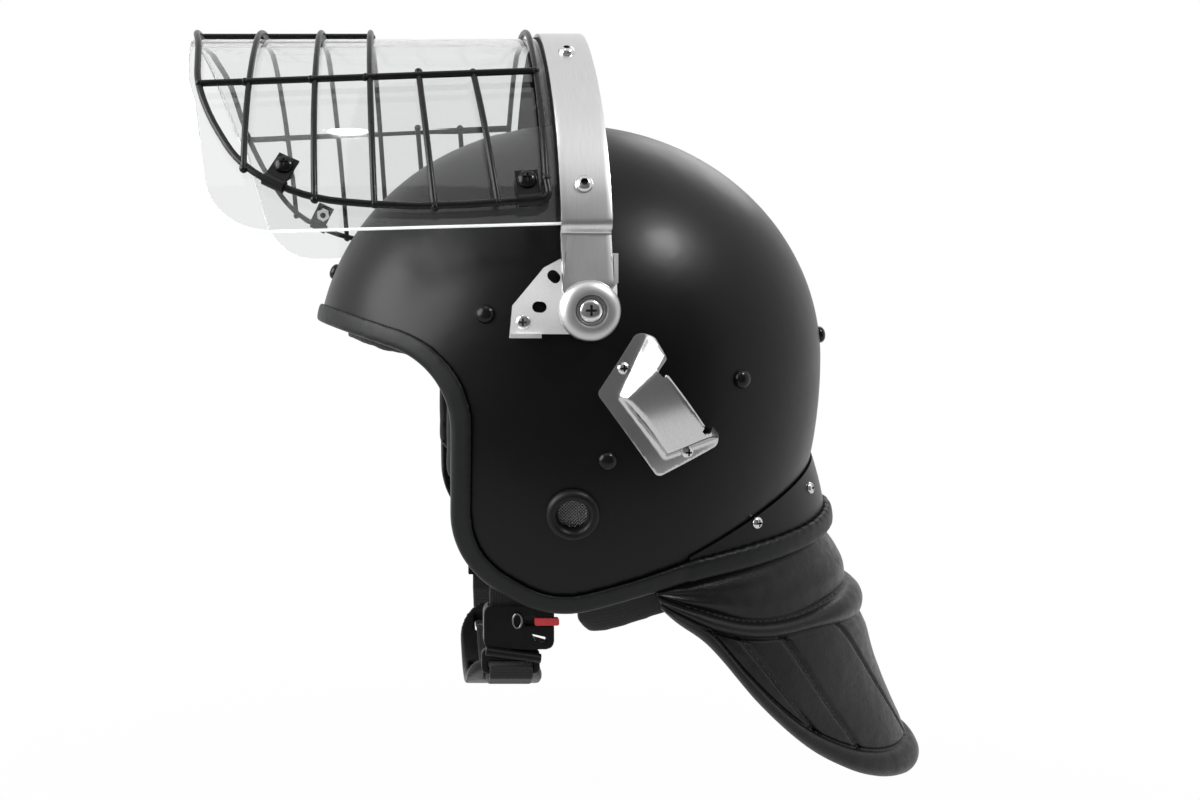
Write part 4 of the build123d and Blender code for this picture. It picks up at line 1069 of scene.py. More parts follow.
# %% Screws on hooks, flare, plates, clips and arch
FLARE_SLOPE, FLARE_PROUD = 0.66, 1.2
SEAM_SIDE, SEAM_BACK = (55.0, -122.0), (152.0, -75.0)
FLARE_SCREWS = [(91.4, -107.0), (130.0, -94.5)]
HOOK_SCREWS = [(17.3, -27.2), (49.3, -67.6)]
HOOK_WALL = 1.5
QUADRANT_SCREW = (-29.9, -5.4)
PLATE_X, PLATE_DISH, PLATE_FLAT_R = 120.0, 0.25, 12.0
BOLT_Y, BOLT_HEIGHTS = -1.0, (58.0, 132.6)
CLIP_STATIONS = (-148.5, -27.0)
CLIP_UP, CLIP_LOW = 9.0, VISOR_WALL + 0.2 + 1.2


def on_flare(y, z):
    """Matrix on the left side of the flare: the shell's, sheared backwards with it."""
    rise = atan2(SEAM_BACK[1] - SEAM_SIDE[1], SEAM_BACK[0] - SEAM_SIDE[0])
    per_y, per_z = FLARE_SLOPE * sin(rise), -FLARE_SLOPE * cos(rise)
    shift = -per_y * SEAM_SIDE[0] - per_z * SEAM_SIDE[1]
    before = shell_point((y - per_z * z - shift) / (1 + per_y), z, FLARE_PROUD)
    flat = shell_out(*shell_point((y - per_z * z - shift) / (1 + per_y), z))
    origin = Vector((before.x, (1 + per_y) * before.y + per_z * before.z + shift, before.z))
    out = Vector((flat.x, flat.y / (1 + per_y), flat.z - per_z * flat.y / (1 + per_y))).normalized()
    return facing(origin + out * HEAD_GAP, out)


def on_plate(y, z):
    """Matrix on the outside of the dished quadrant plate."""
    reach = hypot(y, z)
    out = Vector((1, PLATE_DISH * y / reach, PLATE_DISH * z / reach))
    return facing((PLATE_X - PLATE_DISH * (reach - PLATE_FLAT_R) + HEAD_GAP, y, z), out)


def on_vault(y, z, lift):
    """Matrix on the left side of the lifted vault."""
    point, turn = vault_at(y, z, 0)
    out = vault_out(turn)
    return facing(point + out * lift, out)


def clip_place(y, lift):
    """Matrix of a clip's screw: above the lower wire, square to the vault."""
    middle, back = on_lower_wire(y)
    out = vault_out(vault_at(y, middle.z, WIRE_LIFT)[1])
    out = (out - back * out.dot(back)).normalized()
    near_screw = middle + out.cross(back) * CLIP_UP
    return on_vault(near_screw.y, near_screw.z, lift)


screw_jobs = {
    "hook": (turned_head(radius=3.05, rise=1.9, outline=cross_outline(1.95, 0.5), depth=1.5),
             [on_shell(y, z, HOOK_WALL + 0.15) for y, z in HOOK_SCREWS]),
    "flare": (turned_head(radius=3.3, rise=1.9, outline=cross_outline(2.0, 0.52), depth=1.5),
              [on_flare(y, z) for y, z in FLARE_SCREWS]),
    "quadrant": (turned_head(radius=3.5, rise=1.0, outline=cross_outline(2.2, 0.5), depth=0.9),
                 [on_plate(*QUADRANT_SCREW)]),
}
for what, (head, places) in screw_jobs.items():
    fasteners(what + "_screw_heads", head, places, FINISH_NICKEL, "helmet", "nickel",
              what + "_screws")
bolt_head = turned_head(radius=4.4, rise=2.9, outline=hex_outline(2.1), depth=2.2)
bolt_places = [on_vault(BOLT_Y, z, BAND_LIFT + BAND_WALL + 0.02) for z in BOLT_HEIGHTS]
fasteners("arch_bolt_heads", bolt_head, bolt_places, FINISH_NICKEL, "visor", "nickel", "arch_bolts")
clip_head = turned_head(radius=4.8, rise=2.8, outline=cross_outline(2.5, 0.5), depth=1.6)
clip_places = [clip_place(y, CLIP_LOW + HEAD_GAP) for y in CLIP_STATIONS]
fasteners("clip_screw_heads", clip_head, clip_places, FINISH_RIVET, "visor", "black_rivet",
          "clip_screws")
print("screw heads ready")

# %% [markdown]
# ## Pivot discs
# Each pivot is closed by a turned aluminium disc: a round shoulder, a flat face, a stepped well
# and a pan head screw at the bottom. All of it is lathe work on the real part, and here too.

# %% Turn the discs
DISC_R, DISC_LOW, WELL_FLOOR = 14.25, 124.0, 4.2
DISC_PROFILE = [
    (DISC_R - 0.4, 0.0), (DISC_R, 0.4), (DISC_R, 2.9), (DISC_R - 0.25, 3.6), (DISC_R - 0.9, 4.6),
    (DISC_R - 2.0, 5.5), (DISC_R - 3.4, 6.15), (DISC_R - 5.2, 6.55), (7.75, 6.6), (7.5, 6.5),
    (7.35, 6.2), (7.35, 3.5), (7.2, 3.4), (6.7, 3.4), (6.6, 3.6), (6.5, 4.6), (6.2, 4.9),
    (5.9, 4.9), (5.75, 4.6), (5.7, 4.15), (3.0, 4.15), (0, 4.15),
]
disc_sides = both_sides(lathe(DISC_PROFILE, 96), [facing((DISC_LOW, 0, 0), (1, 0, 0))])
discs = new_piece("pivot_disc_faces", *gathered(disc_sides), FINISH_DISC, "helmet",
                  "disc_aluminium", ["pivot_discs"], smooth=False)
shade_by_angle(discs, 40)
pivot_head = turned_head(radius=5.6, rise=2.2, outline=cross_outline(3.0, 0.62), depth=1.2)
fasteners("pivot_screw_heads", pivot_head, [facing((DISC_LOW + WELL_FLOOR, 0, 0), (1, 0, 0))],
          FINISH_NICKEL, "helmet", "nickel", "pivot_screws")
print("discs ready")

# %% [markdown]
# ## Strap hooks
# Each hook is one blank of polished steel, pressed so that two wedges and a short wall lift a
# tray off the shell, open to the rear for a strap. Pressed sheet has soft creases. So the blank's
# outline is filled with small triangles, each point is raised to the lowest of four sloping
# planes, and averaging over a small ring round the point rounds the creases as a die does. A
# solidify modifier then gives the sheet its wall.

# %% Outline and planes of the pressing
HOOK_CORNERS = [
    (24.3, -9.2, 5.0), (31.0, -12.6, 3.5), (34.2, -22.2, 2.6), (31.2, -26.8, 0.6),
    (30.6, -28.6, 0.4), (33.0, -31.2, 0.4), (34.9, -29.8, 0.4), (52.2, -53.4, 0.4),
    (51.2, -56.0, 0.5), (53.0, -57.8, 0.5), (60.6, -55.0, 2.6), (65.2, -58.8, 2.4),
    (65.4, -64.8, 4.0), (34.9, -79.6, 3.2), (4.9, -39.2, 3.0),
]
UPPER_FOLD = ((14.3, -40.8), (27.4, -12.0))
LOWER_FOLD = ((66.0, -61.0), (38.3, -69.8))
LEFT_FOLD = ((38.5, -70.4), (14.8, -40.6))
TRAY_CREASE = ((39.2, -67.8), (19.4, -41.9))
TRAY_LOW, TRAY_RISE, TRAY_SPAN = 4.0, 6.0, 18.5
TRAY_BOW, TRAY_LENGTH = 0.9, 33.0
LIP_START, LIP_END = 18.9, 1.08
UPPER_SLOPE, LOWER_SLOPE, LEFT_SLOPE, LIP_SLOPE = 0.95, 1.65, 1.9, 1.6


def beyond(line, y, z):
    """Distance to the right of a line in the side view."""
    (y0, z0), (y1, z1) = line
    dy, dz = y1 - y0, z1 - z0
    return ((y - y0) * dz - (z - z0) * dy) / hypot(dy, dz)


def pressed_height(y, z):
    """Height of the sharp pressing over its base."""
    across = beyond(TRAY_CREASE, y, z)
    (y0, z0), (y1, z1) = TRAY_CREASE
    along = ((y - y0) * (y1 - y0) + (z - z0) * (z1 - z0)) / TRAY_LENGTH**2
    tray = TRAY_LOW + TRAY_RISE * across / TRAY_SPAN + TRAY_BOW * (1 - (2 * along - 1) ** 2)
    if across > LIP_START and along < LIP_END:
        tray -= (across - LIP_START) * LIP_SLOPE
    upper = beyond(UPPER_FOLD, y, z) * UPPER_SLOPE
    lower = beyond(LOWER_FOLD, y, z) * LOWER_SLOPE
    left = beyond(LEFT_FOLD, y, z) * LEFT_SLOPE
    return max(0.0, min(tray, upper, lower, left))


def soft_height(y, z, ring=0.75):
    """Height averaged over a small ring, as a rounded die leaves it."""
    total = 2 * pressed_height(y, z)
    for i in range(8):
        turn = 2 * pi * i / 8
        total += pressed_height(y + ring * cos(turn), z + ring * sin(turn))
    return total / 10


print("height at the tray's middle", round(soft_height(38, -46), 2))

# %% Press the hooks
HOOK_STEP = 1.1
HOOK_SEAT = 0.1


def closed_route(corners):
    """Closed outline whose corners, given with radii, are rounded."""
    flat = [Vector((y, z, 0)) for y, z, radius in corners]
    start = (flat[-1] + flat[0]) / 2
    return rounded_route([start, *flat, start], [c[2] for c in corners])[:-1]


def evenly(route, step):
    """Points along a closed outline at about equal steps, with its corners kept."""
    points = []
    for here, after in zip(route, route[1:] + route[:1]):
        count = max(1, round((after - here).length / step))
        points += [here.lerp(after, i / count) for i in range(count)]
    return points


def inside_outline(outline, y, z):
    """Whether a point lies inside a closed outline."""
    hit = False
    for here, after in zip(outline, outline[1:] + outline[:1]):
        if (here.y > z) != (after.y > z):
            if y < here.x + (after.x - here.x) * (z - here.y) / (after.y - here.y):
                hit = not hit
    return hit


def filled(outline, step):
    """Triangles over an outline: its own points and a staggered grid inside it."""
    low_y, high_y = min(p.x for p in outline), max(p.x for p in outline)
    low_z, high_z = min(p.y for p in outline), max(p.y for p in outline)
    points = [Vector((p.x, p.y)) for p in outline]
    count = len(points)
    rows = int((high_z - low_z) / (step * 0.866))
    for row in range(rows):
        z = low_z + (row + 0.5) * step * 0.866
        for column in range(int((high_y - low_y) / step) + 1):
            y = low_y + (column + 0.5 * (row % 2)) * step
            clear = min(hypot(p.x - y, p.y - z) for p in outline)
            if clear > step * 0.6 and inside_outline(outline, y, z):
                points.append(Vector((y, z)))
    edges = [(i, (i + 1) % count) for i in range(count)]
    made = delaunay_2d_cdt(points, edges, [], 1, 1e-5)
    return [(p.x, p.y) for p in made[0]], [list(f) for f in made[2]]


def press_hook():
    """Outer face of the left hook: the flat blank, raised off the shell."""
    flat, faces = filled(evenly(closed_route(HOOK_CORNERS), HOOK_STEP), HOOK_STEP)
    points = [shell_point(y, z, HOOK_SEAT + HOOK_WALL + soft_height(y, z)) for y, z in flat]
    return points, [f if facing_out(points, f) else f[::-1] for f in faces]


def facing_out(points, face):
    """Whether a face looks away from the helmet's left side."""
    a, b, c = (points[i] for i in face[:3])
    return (b - a).cross(c - a).x > 0


def hook_piece(side, points, faces):
    """Hook of one side, with its wall and its rounded edges."""
    piece = new_piece("pressed_hook_" + side, points, faces, FINISH_HOOK, "helmet", "hook_steel",
                      ["strap_hook_" + side])
    sheet_metal(piece, wall_mm=HOOK_WALL, round_mm=0.3, sharpest=60)


hook_points, hook_faces = press_hook()
hook_piece("left", hook_points, hook_faces)
hook_piece("right", [(-x, y, z) for x, y, z in hook_points], [f[::-1] for f in hook_faces])
print("hook points", len(hook_points))

# %% [markdown]
# ## Ear grommets and their mesh
# A rubber ring lines each ear hole, and a disc of woven wire sits in it. Woven wire is two sets
# of wires that pass over and under each other in turn. Each wire is a thin rod on a wavy path,
# and the two sets wave in opposite phase, so they truly interlace.

# %% Ring and woven wire
EAR_SPOT = (-5.2, -98.2)
RING_PROFILE = [
    (13.2, -0.3), (13.15, 0.9), (12.8, 2.1), (12.0, 3.1), (10.9, 3.7), (9.7, 3.8), (8.6, 3.2),
    (7.8, 1.9), (7.4, 0.3), (7.2, -1.2), (7.2, -5.2), (9.3, -5.2), (9.3, -0.3),
]
MESH_PITCH, MESH_WIRE, MESH_R, MESH_SUNK = 1.15, 0.25, 7.15, 1.6
ASLANT = 0.707


def turned_ring(profile, segments=72):
    """Closed section turned round the axis."""
    points, faces = [], []
    count = len(profile)
    for i in range(segments):
        turn = 2 * pi * i / segments
        points += [(r * cos(turn), r * sin(turn), h) for r, h in profile]
    for i in range(segments):
        for j in range(count):
            a, b = i * count + j, i * count + (j + 1) % count
            c, d = (i + 1) % segments * count + (j + 1) % count, (i + 1) % segments * count + j
            faces.append([a, d, c, b])
    return points, faces


def both_ears(name, made, material, slot, solid):
    """One piece with the same part in each ear hole."""
    sides = both_sides(made, [on_shell(*EAR_SPOT)])
    new_piece(name, *gathered(sides), material, "helmet", slot, [solid])


both_ears("ear_rings", turned_ring(RING_PROFILE), FINISH_GROMMET, "grommet_rubber", "ear_grommets")
wires = []
lines = int(MESH_R / MESH_PITCH)
for i in range(-lines, lines + 1):
    off = i * MESH_PITCH
    half = sqrt(MESH_R**2 - off**2)
    count = max(2, int(2 * half / (MESH_PITCH / 2)))
    for way in (0, 1):
        route = []
        for j in range(count + 1):
            along = -half + 2 * half * j / count
            wave = MESH_WIRE * 0.9 * cos(pi * (along / MESH_PITCH + i + way))
            u, v = (along, off) if way == 0 else (off, along)
            route.append((ASLANT * (u - v), ASLANT * (u + v), wave - MESH_SUNK))
        wires.append(rod("mesh_wire", route, MESH_WIRE, 1))
woven_disc = joined("woven", wires)
mesh_points = [v.co / MM for v in woven_disc.data.vertices]
mesh_faces = [list(f.vertices) for f in woven_disc.data.polygons]
bpy.data.objects.remove(woven_disc)
both_ears("ear_wire_mesh", (mesh_points, mesh_faces), FINISH_MESH, "mesh", "ear_meshes")
print("mesh wires", len(wires))

# %% [markdown]
# ## Leather neck guard
# The guard is padded leather in three parts: a smooth collar that comes out from under the rim, a
# thick welt that stiffens it, and a long flap with stitched channels and a rolled hem. All of it
# is one surface round the neck, measured by an angle from the back and a height. Each part is a
# rise or a groove on that surface, so the stitched lines can't drift from the leather they hold.
# The skin is closed: it runs down the outside, round the hem and up the inside.

# %% Surface round the neck
GUARD_RINGS = [
    (-112, 8, 98, 138), (-122, 9.2, 96.5, 143.5), (-134, 11, 95, 148.5), (-141, 12.7, 94.5, 150.5),
    (-150, 15, 93, 151.5), (-158, 17.6, 92, 152), (-169, 21, 90.5, 153.5), (-198, 32, 87, 151.5),
    (-228, 42, 80, 154.5), (-240, 45.5, 78, 157), (-262, 51, 76, 160.5),
]
RIM_EDGE = [(39, -139.5), (62, -133.8), (98, -127), (130, -119.5), (148.5, -114.5)]
GROOVE_LINE = [(40.5, -142.8), (53, -147), (86, -157.2), (109, -158.8), (144, -153.5),
               (164, -149.5), (172, -149)]
WELT_FOOT = [(41, -146), (49, -151), (70, -161.5), (96, -167), (127, -166.5), (155, -168),
             (176, -168.8)]
HEM_LINE = [(41.5, -148.5), (48, -154.5), (66, -168), (93, -199), (122, -226), (148, -242),
            (168, -250), (187, -254), (202, -254.5), (210, -253)]


def between(table, x):
    """Smooth curve through a table of points, from one end to the other."""
    if x <= table[0][0]:
        return table[0][1]
    if x >= table[-1][0]:
        return table[-1][1]
    slopes = [(b[1] - a[1]) / (b[0] - a[0]) for a, b in zip(table, table[1:])]
    i = next(k for k in range(len(slopes)) if x <= table[k + 1][0])
    into = slopes[i] if i == 0 else (slopes[i - 1] + slopes[i]) / 2
    onward = slopes[i] if i == len(slopes) - 1 else (slopes[i] + slopes[i + 1]) / 2
    span = table[i + 1][0] - table[i][0]
    s = (x - table[i][0]) / span
    low, high = table[i][1], table[i + 1][1]
    return (low * (1 + 2 * s) * (1 - s) ** 2 + into * span * s * (1 - s) ** 2
            + high * s * s * (3 - 2 * s) + onward * span * s * s * (s - 1))


GUARD_CENTRES = sorted((z, y) for z, y, wide, deep in GUARD_RINGS)
GUARD_WIDTHS = sorted((z, wide) for z, y, wide, deep in GUARD_RINGS)
GUARD_DEPTHS = sorted((z, deep) for z, y, wide, deep in GUARD_RINGS)


def round_neck(turn, z):
    """Point of the plain surface: turn is 0 at the back and grows round the wearer's left."""
    y = between(GUARD_CENTRES, z) + between(GUARD_DEPTHS, z) * cos(turn)
    return Vector((between(GUARD_WIDTHS, z) * sin(turn), y, z))


def neck_out(turn, z):
    """Direction out of the surface."""
    step = 0.02
    round_way = round_neck(turn + step, z) - round_neck(turn - step, z)
    down_way = round_neck(turn, z - 1) - round_neck(turn, z + 1)
    return round_way.cross(down_way).normalized()


def by_turn(line):
    """Heights of a line by its turn round the neck, sorted from the back."""
    table = []
    for y, z in line:
        share = (y - between(GUARD_CENTRES, z)) / between(GUARD_DEPTHS, z)
        table.append((acos(max(-1.0, min(1.0, share))), z))
    return sorted(table)


RIM_BY_TURN, GROOVE_BY_TURN = by_turn(RIM_EDGE), by_turn(GROOVE_LINE)
WELT_BY_TURN, HEM_BY_TURN = by_turn(WELT_FOOT), by_turn(HEM_LINE)
GUARD_TURN = HEM_BY_TURN[-1][0]
print("guard reaches", round(degrees(GUARD_TURN), 1), "degrees a side")

# %% Rises, grooves and wrinkles
HEM_WIDTH, HEM_RISE = 14.5, 3.3
WELT_RISE, GROOVE_DEPTH = 5.8, 1.4
RIM_TUCK, FOLD_DEPTH, COLLAR_RISE = 3.0, 1.4, 2.4
CHANNELS = [((-168.0, radians(65.0)), (-218.0, radians(55.0))),
            ((-169.5, radians(55.0)), (-234.0, radians(43.7))),
            ((-164.6, radians(36.0)), (-244.0, radians(14.0)))]
CHANNEL_DEPTH, CHANNEL_WIDTH, NECK_R = 1.6, 2.2, 110


def dent(distance, width):
    """Rounded groove: 1 in its middle and 0 beyond its width."""
    share = abs(distance) / width
    return (1 - share * share) ** 2 if share < 1 else 0.0


def channel_turn(channel, z):
    """Turn of a stitched channel at a height."""
    (z0, turn0), (z1, turn1) = channel
    return turn0 + (turn1 - turn0) * (z - z0) / (z1 - z0)


def guard_lines(side):
    """Heights of the rim, the groove, the welt's foot and the hem at a turn."""
    return [between(t, side) for t in (RIM_BY_TURN, GROOVE_BY_TURN, WELT_BY_TURN, HEM_BY_TURN)]


def guard_rise(turn, z):
    """How far the leather stands out of the plain surface."""
    side = abs(turn)
    rim, groove, foot, hem = guard_lines(side)
    wrinkle = 0.45 * noise.noise(Vector((turn * 3.2, z * 0.05, 0)))
    wrinkle += 0.22 * noise.noise(round_neck(turn, z) * 0.12)
    if z > groove:
        share = (rim - z) / max(1.0, rim - groove)
        fold = 0.7 * noise.noise(Vector((turn * 2.0, z * 0.11, 4.0)))
        rise = COLLAR_RISE * sin(pi * min(1.0, max(0.0, share)))
        rise += fold * max(0.0, min(1.0, share * 2))
        rise -= FOLD_DEPTH * dent(share - 0.5, 0.24) * sin(min(1.0, side) * pi / 2)
        rise -= RIM_TUCK * exp(-max(0.0, rim - z) / 6.0)
        return rise + wrinkle - GROOVE_DEPTH * dent(z - groove, 2.0)
    if z > foot:
        share = (groove - z) / max(0.5, groove - foot)
        tall = min(WELT_RISE, 0.42 * (groove - foot))
        rise = tall * sin(pi * min(1.0, share)) ** 0.8
        rise += 0.2 * noise.noise(Vector((turn * 14, z * 0.2, 9)))
        return rise - GROOVE_DEPTH * dent(z - groove, 2.0)
    rise = wrinkle * 0.8 + 0.5 - 1.3 * dent(z - foot, 2.2)
    down = z - hem
    if down < HEM_WIDTH + 2.5:
        rise += HEM_RISE * (1 - abs(2 * min(1.0, down / HEM_WIDTH) - 1) ** 2.6)
        rise -= 1.2 * dent(down - HEM_WIDTH, 1.8)
    if down > HEM_WIDTH:
        for channel in CHANNELS:
            reach = (side - channel_turn(channel, z)) * NECK_R
            rise -= CHANNEL_DEPTH * dent(reach, CHANNEL_WIDTH)
        rise += 0.9 * min(1.0, (down - HEM_WIDTH) / 9) * min(1.0, (foot - z) / 9)
    return rise


def on_guard(turn, z, lift=0.0):
    """Point of the finished leather."""
    return round_neck(turn, z) + neck_out(turn, z) * (guard_rise(turn, z) + lift)


# %% Sew the guard
ROUND_STEPS, COLLAR_ROWS, WELT_ROWS, FLAP_ROWS, HEM_ROWS = 260, 16, 16, 46, 18
GUARD_WALL, HEM_ROUND = 3.6, 3.0


def wall_at(down):
    """Thickness of the padded leather, rolled to nothing at the very edge of the hem."""
    share = min(1.0, down / HEM_ROUND)
    return GUARD_WALL * sqrt(1 - (1 - share) ** 2)


def guard_heights(side):
    """Heights of one column's points from the rim down to the hem."""
    rim, groove, foot, hem = guard_lines(side)
    roll = max(hem + 0.1, min(foot - 0.2, hem + HEM_WIDTH + 2))
    stops = [(rim, groove, COLLAR_ROWS), (groove, foot, WELT_ROWS), (foot, roll, FLAP_ROWS),
             (roll, hem, HEM_ROWS)]
    heights = []
    for high, low, rows in stops:
        heights += [high + (low - high) * i / rows for i in range(rows)]
    return [*heights, hem]


def sew_guard():
    """Closed skin: each column runs down the outside, round the hem and up the inside."""
    points, faces = [], []
    for i in range(ROUND_STEPS + 1):
        turn = GUARD_TURN * (2 * i / ROUND_STEPS - 1)
        heights = guard_heights(abs(turn))
        points += [on_guard(turn, z) for z in heights]
        points += [on_guard(turn, z, -wall_at(z - heights[-1])) for z in reversed(heights[:-1])]
    loop = 2 * len(heights) - 1
    for i in range(ROUND_STEPS):
        for j in range(loop):
            here, after = i * loop + j, i * loop + (j + 1) % loop
            faces.append([here, here + loop, after + loop, after])
    last = ROUND_STEPS * loop
    return points, [*faces, list(range(loop)), list(range(last + loop - 1, last - 1, -1))]


guard = new_piece("leather_guard", *sew_guard(), FINISH_LEATHER, "helmet", "leather",
                  ["neck_collar", "neck_welt", "neck_flap"])
print("guard quads", len(guard.data.polygons))

# %% Stitches
STITCH_LENGTH, STITCH_GAP, STITCH_R = 2.3, 1.1, 0.34
GROOVE_SEAM_DROP = 0.2


def stitch(start, end, out):
    """One thread lump that dips into the leather at both ends."""
    along = (end - start).normalized()
    side = out.cross(along).normalized()
    points, rings = [], 5
    for i in range(rings + 1):
        share = i / rings
        swell = STITCH_R * sqrt(max(0.04, 1 - (2 * share - 1) ** 2))
        middle = start.lerp(end, share) + out * (STITCH_R * (1.2 * sin(pi * share) - 0.6))
        for k in range(6):
            turn = pi / 3 * k
            points.append(middle + side * (swell * cos(turn)) + out * (swell * sin(turn)))
    faces = [[i * 6 + k, i * 6 + (k + 1) % 6, (i + 1) * 6 + (k + 1) % 6, (i + 1) * 6 + k]
             for i in range(rings) for k in range(6)]
    return points, [*faces, [5, 4, 3, 2, 1, 0], [rings * 6 + k for k in range(6)]]


def stitched(route, outs):
    """Stitches along a route at even steps."""
    made, left_over = [], 0.0
    for i in range(len(route) - 1):
        start, end = route[i], route[i + 1]
        length = (end - start).length
        at = left_over
        while at + STITCH_LENGTH < length:
            first = start.lerp(end, at / length)
            last = start.lerp(end, (at + STITCH_LENGTH) / length)
            made.append(stitch(first, last, outs[i]))
            at += STITCH_LENGTH + STITCH_GAP
        left_over = max(0.0, at - length)
    return made


def seam(turns_and_heights, lift):
    """Stitches along a line on the leather, given by turns and heights."""
    route = [on_guard(turn, z, lift) for turn, z in turns_and_heights]
    return stitched(route, [neck_out(turn, z) for turn, z in turns_and_heights])


def along_groove(turn):
    """Place in the groove between collar and welt at a turn."""
    return turn, between(GROOVE_BY_TURN, abs(turn)) - GROOVE_SEAM_DROP


def along_hem(turn):
    """Place on the seam above the hem at a turn."""
    return turn, between(HEM_BY_TURN, abs(turn)) + HEM_WIDTH


CHANNEL_STEPS, ROUND_SEAM_STEPS = 24, 120
SEAM_SHARE, HEM_SHARE = 0.94, 0.96
CHANNEL_SEAM_LIFT = 0.05
threads = []
for sign in (-1, 1):
    for (z0, turn0), (z1, turn1) in CHANNELS[:2]:
        shares = [i / CHANNEL_STEPS for i in range(CHANNEL_STEPS + 1)]
        run = [(sign * (turn0 + (turn1 - turn0) * s), z0 + (z1 - z0) * s) for s in shares]
        threads += seam(run, CHANNEL_SEAM_LIFT)
seam_turns = [GUARD_TURN * SEAM_SHARE * (2 * i / ROUND_SEAM_STEPS - 1)
              for i in range(ROUND_SEAM_STEPS + 1)]
threads += seam([along_groove(turn) for turn in seam_turns], 0.0)
threads += seam([along_hem(turn * HEM_SHARE) for turn in seam_turns], 0.0)
new_piece("guard_stitches", *gathered(threads), FINISH_THREAD, "helmet", "leather")
print("stitches", len(threads))

# %% [markdown]
# ## Pads inside the shell
# Comfort pads are foam in cloth covers, tacked down along a few lines. Cloth simulation with a
# little air pressure inside gives them their puffed faces. The back of each pad and its tacking
# lines are pinned, so it swells only towards the head, and it stays where the foam liner holds it.

# %% Puff the pads
PUFF_FRAMES = 20
PUFF_LIMIT, TACK_REACH = 5.0, 2.4
BROW_UP, BROW_SLANT, BROW_FRONT_Y, CHEEK_BACK = 1.2, 0.35, -95, 2.6


def out_of_shell(point):
    """Direction out of the shell at any point in metres."""
    x, y, z = point / MM
    return shell_out(x, y, z)


def pin(piece, lines):
    """Weights that hold a pad's back and its tacking lines."""
    group = piece.vertex_groups.new(name="held")
    for vertex in piece.data.vertices:
        back = vertex.normal.dot(out_of_shell(vertex.co)) > 0.3
        if back or any(abs(line(vertex.co / MM)) < TACK_REACH for line in lines):
            group.add([vertex.index], 1.0, "REPLACE")


def puffed(name, node, voxel_mm, pressure, lines, moved=None):
    """Soft copy of a pad's solid, swollen by air towards the head, then eased into place."""
    piece = rolled_copy(name, node, voxel_mm, 3)
    pin(piece, lines)
    before = [v.co.copy() for v in piece.data.vertices]
    puff = piece.modifiers.new("puff", "CLOTH")
    puff.settings.use_pressure = True
    puff.settings.uniform_pressure_force = pressure
    puff.settings.vertex_group_mass = "held"
    puff.settings.effector_weights.gravity = 0
    puff.settings.quality = 5
    puff.settings.mass = 0.3
    puff.point_cache.frame_end = PUFF_FRAMES
    for frame_number in range(1, PUFF_FRAMES + 1):
        bpy.context.scene.frame_set(frame_number)
    bake(piece)
    bpy.context.scene.frame_set(1)
    for vertex, start in zip(piece.data.vertices, before):
        move = vertex.co - start
        if move.length > PUFF_LIMIT * MM:
            vertex.co = start + move.normalized() * (PUFF_LIMIT * MM)
    if moved:
        for vertex in piece.data.vertices:
            vertex.co += Vector(moved(vertex.co / MM)) * MM
    piece.vertex_groups.clear()
    finer = piece.modifiers.new("finer", "SUBSURF")
    finer.levels = finer.render_levels = 1
    settle(piece, FINISH_PAD, "helmet", [node])
    print(name, "points", len(piece.data.vertices))


puffed("crown_pad_cover", "crown_pad", voxel_mm=4.0, pressure=4.0,
       lines=[lambda p: p.x, lambda p: p.y - 6, lambda p: abs(p.x) - 40])
puffed("brow_pad_cover", "brow_pad", voxel_mm=3.0, pressure=2.0,
       lines=[lambda p: p.x, lambda p: abs(p.x) - 34],
       moved=lambda p: (0, 0, BROW_UP + BROW_SLANT * max(0.0, p.y - BROW_FRONT_Y)))
for side in ("left", "right"):
    puffed("cheek_cover_" + side, "cheek_pad_" + side, voxel_mm=3.0, pressure=4.0,
           lines=[lambda p: p.z + 64, lambda p: p.y + 40], moved=lambda p: (0, CHEEK_BACK, 0))
puffed("nape_pad_cover", "nape_roll", voxel_mm=3.0, pressure=3.0,
       lines=[lambda p: p.z + 138, lambda p: p.y - 30, lambda p: p.y - 90])

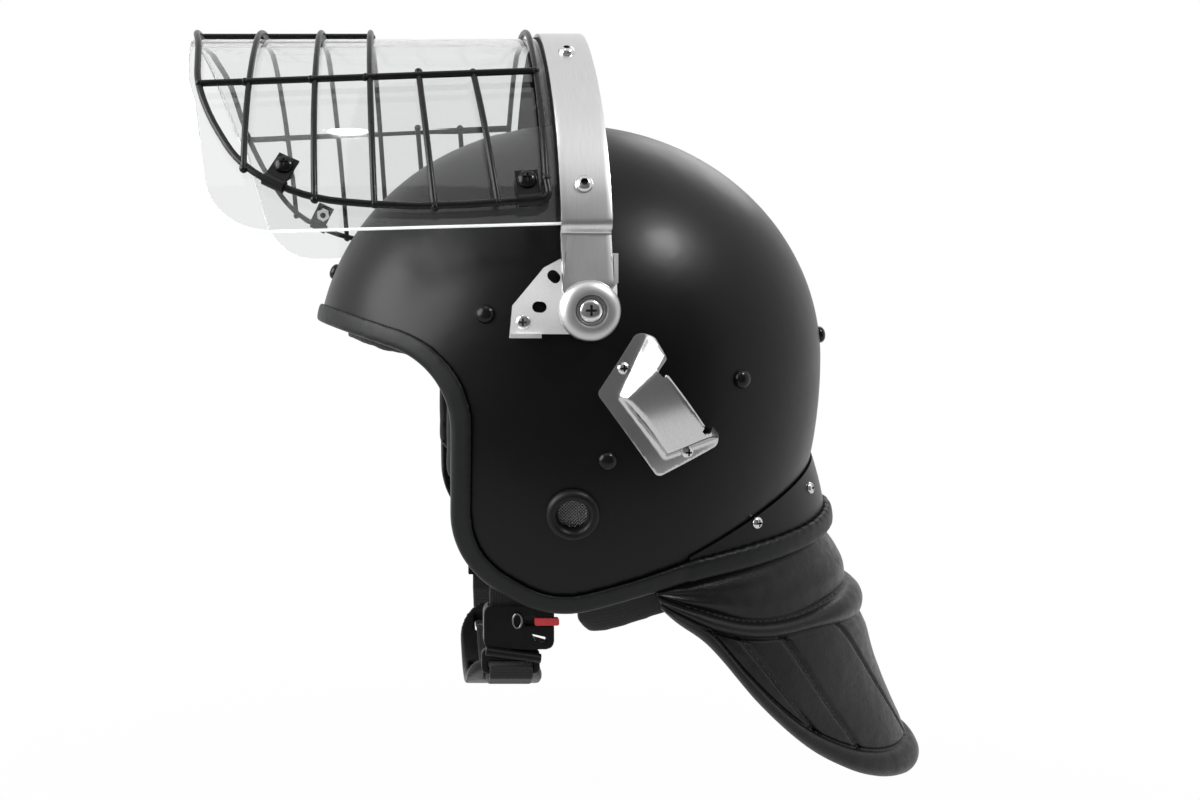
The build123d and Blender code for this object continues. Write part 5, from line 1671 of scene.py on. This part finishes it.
# %% [markdown]
# ## Chin strap
# Webbing is a flat weave two millimetres thick with soft edges, and the chin cup is moulded
# leather. Both have the right shape in the solid model, so a fine remesh that relaxes their
# edges and a woven or leather finish are enough. The plastic buckle parts are moulded, so they
# are softened too, with the strap's window and its round bar added, and a small ring of wire.

# %% Webbing and cup
for node in ("chin_strap_left", "chin_strap_long"):
    strap = rolled_copy(node + "_webbing", node, voxel_mm=0.7, relax=2)
    settle(strap, FINISH_WEBBING, "chin_strap", [node])
cup = rolled_copy("chin_cup_leather", "chin_cup", voxel_mm=0.9, relax=8)
settle(cup, FINISH_LEATHER, "chin_strap", ["chin_cup"])
print("webbing ready")

# %% Buckle mouldings
BUCKLE_WINDOW = [(-21.5, -165.0), (-13.6, -166.8), (-13.6, -170.4), (-19.7, -168.6)]
BAR_ENDS, BAR_R = [(78.4, -45.0, -173.6), (78.4, -17.0, -177.4)], 2.3


def cut_window(piece, outline, low_x, high_x):
    """Cut an opening from the side through a piece; the outline is in the side view."""
    loops = [[Vector((x, y, z)) * MM for y, z in outline] for x in (low_x, high_x)]
    cut_with(piece, plain_object("tool", *prism(*loops)))


mouldings = {node: rolled_copy(node + "_moulding", node, voxel_mm=0.5, relax=6)
             for node in ("buckle_socket", "buckle_tongue", "strap_slider")}
cut_window(mouldings["buckle_socket"], BUCKLE_WINDOW, 60, 90)
mouldings["buckle_tongue"] = joined("buckle_tongue_moulding",
                                    [mouldings["buckle_tongue"], rod("bar", BAR_ENDS, BAR_R)])
for node, moulding in mouldings.items():
    settle(moulding, FINISH_BUCKLE, "chin_strap", [node])
    shade_by_angle(moulding, 50)
print("buckle ready")

# %% Wire ring on the buckle
RING_CENTRE, RING_WIDE, RING_TALL = Vector((79.0, -29.0, -158.0)), 2.3, 3.6
RING_STEPS, RING_WIRE_R = 24, 0.55
ring_turns = [2 * pi * i / RING_STEPS for i in range(RING_STEPS + 1)]
ring_route = [RING_CENTRE + Vector((0, RING_WIDE * cos(turn), RING_TALL * sin(turn)))
              for turn in ring_turns]
wire_ring = rod("strap_wire_ring", ring_route, RING_WIRE_R, 3)
settle(wire_ring, FINISH_RING, "chin_strap")
print("chin strap ready")
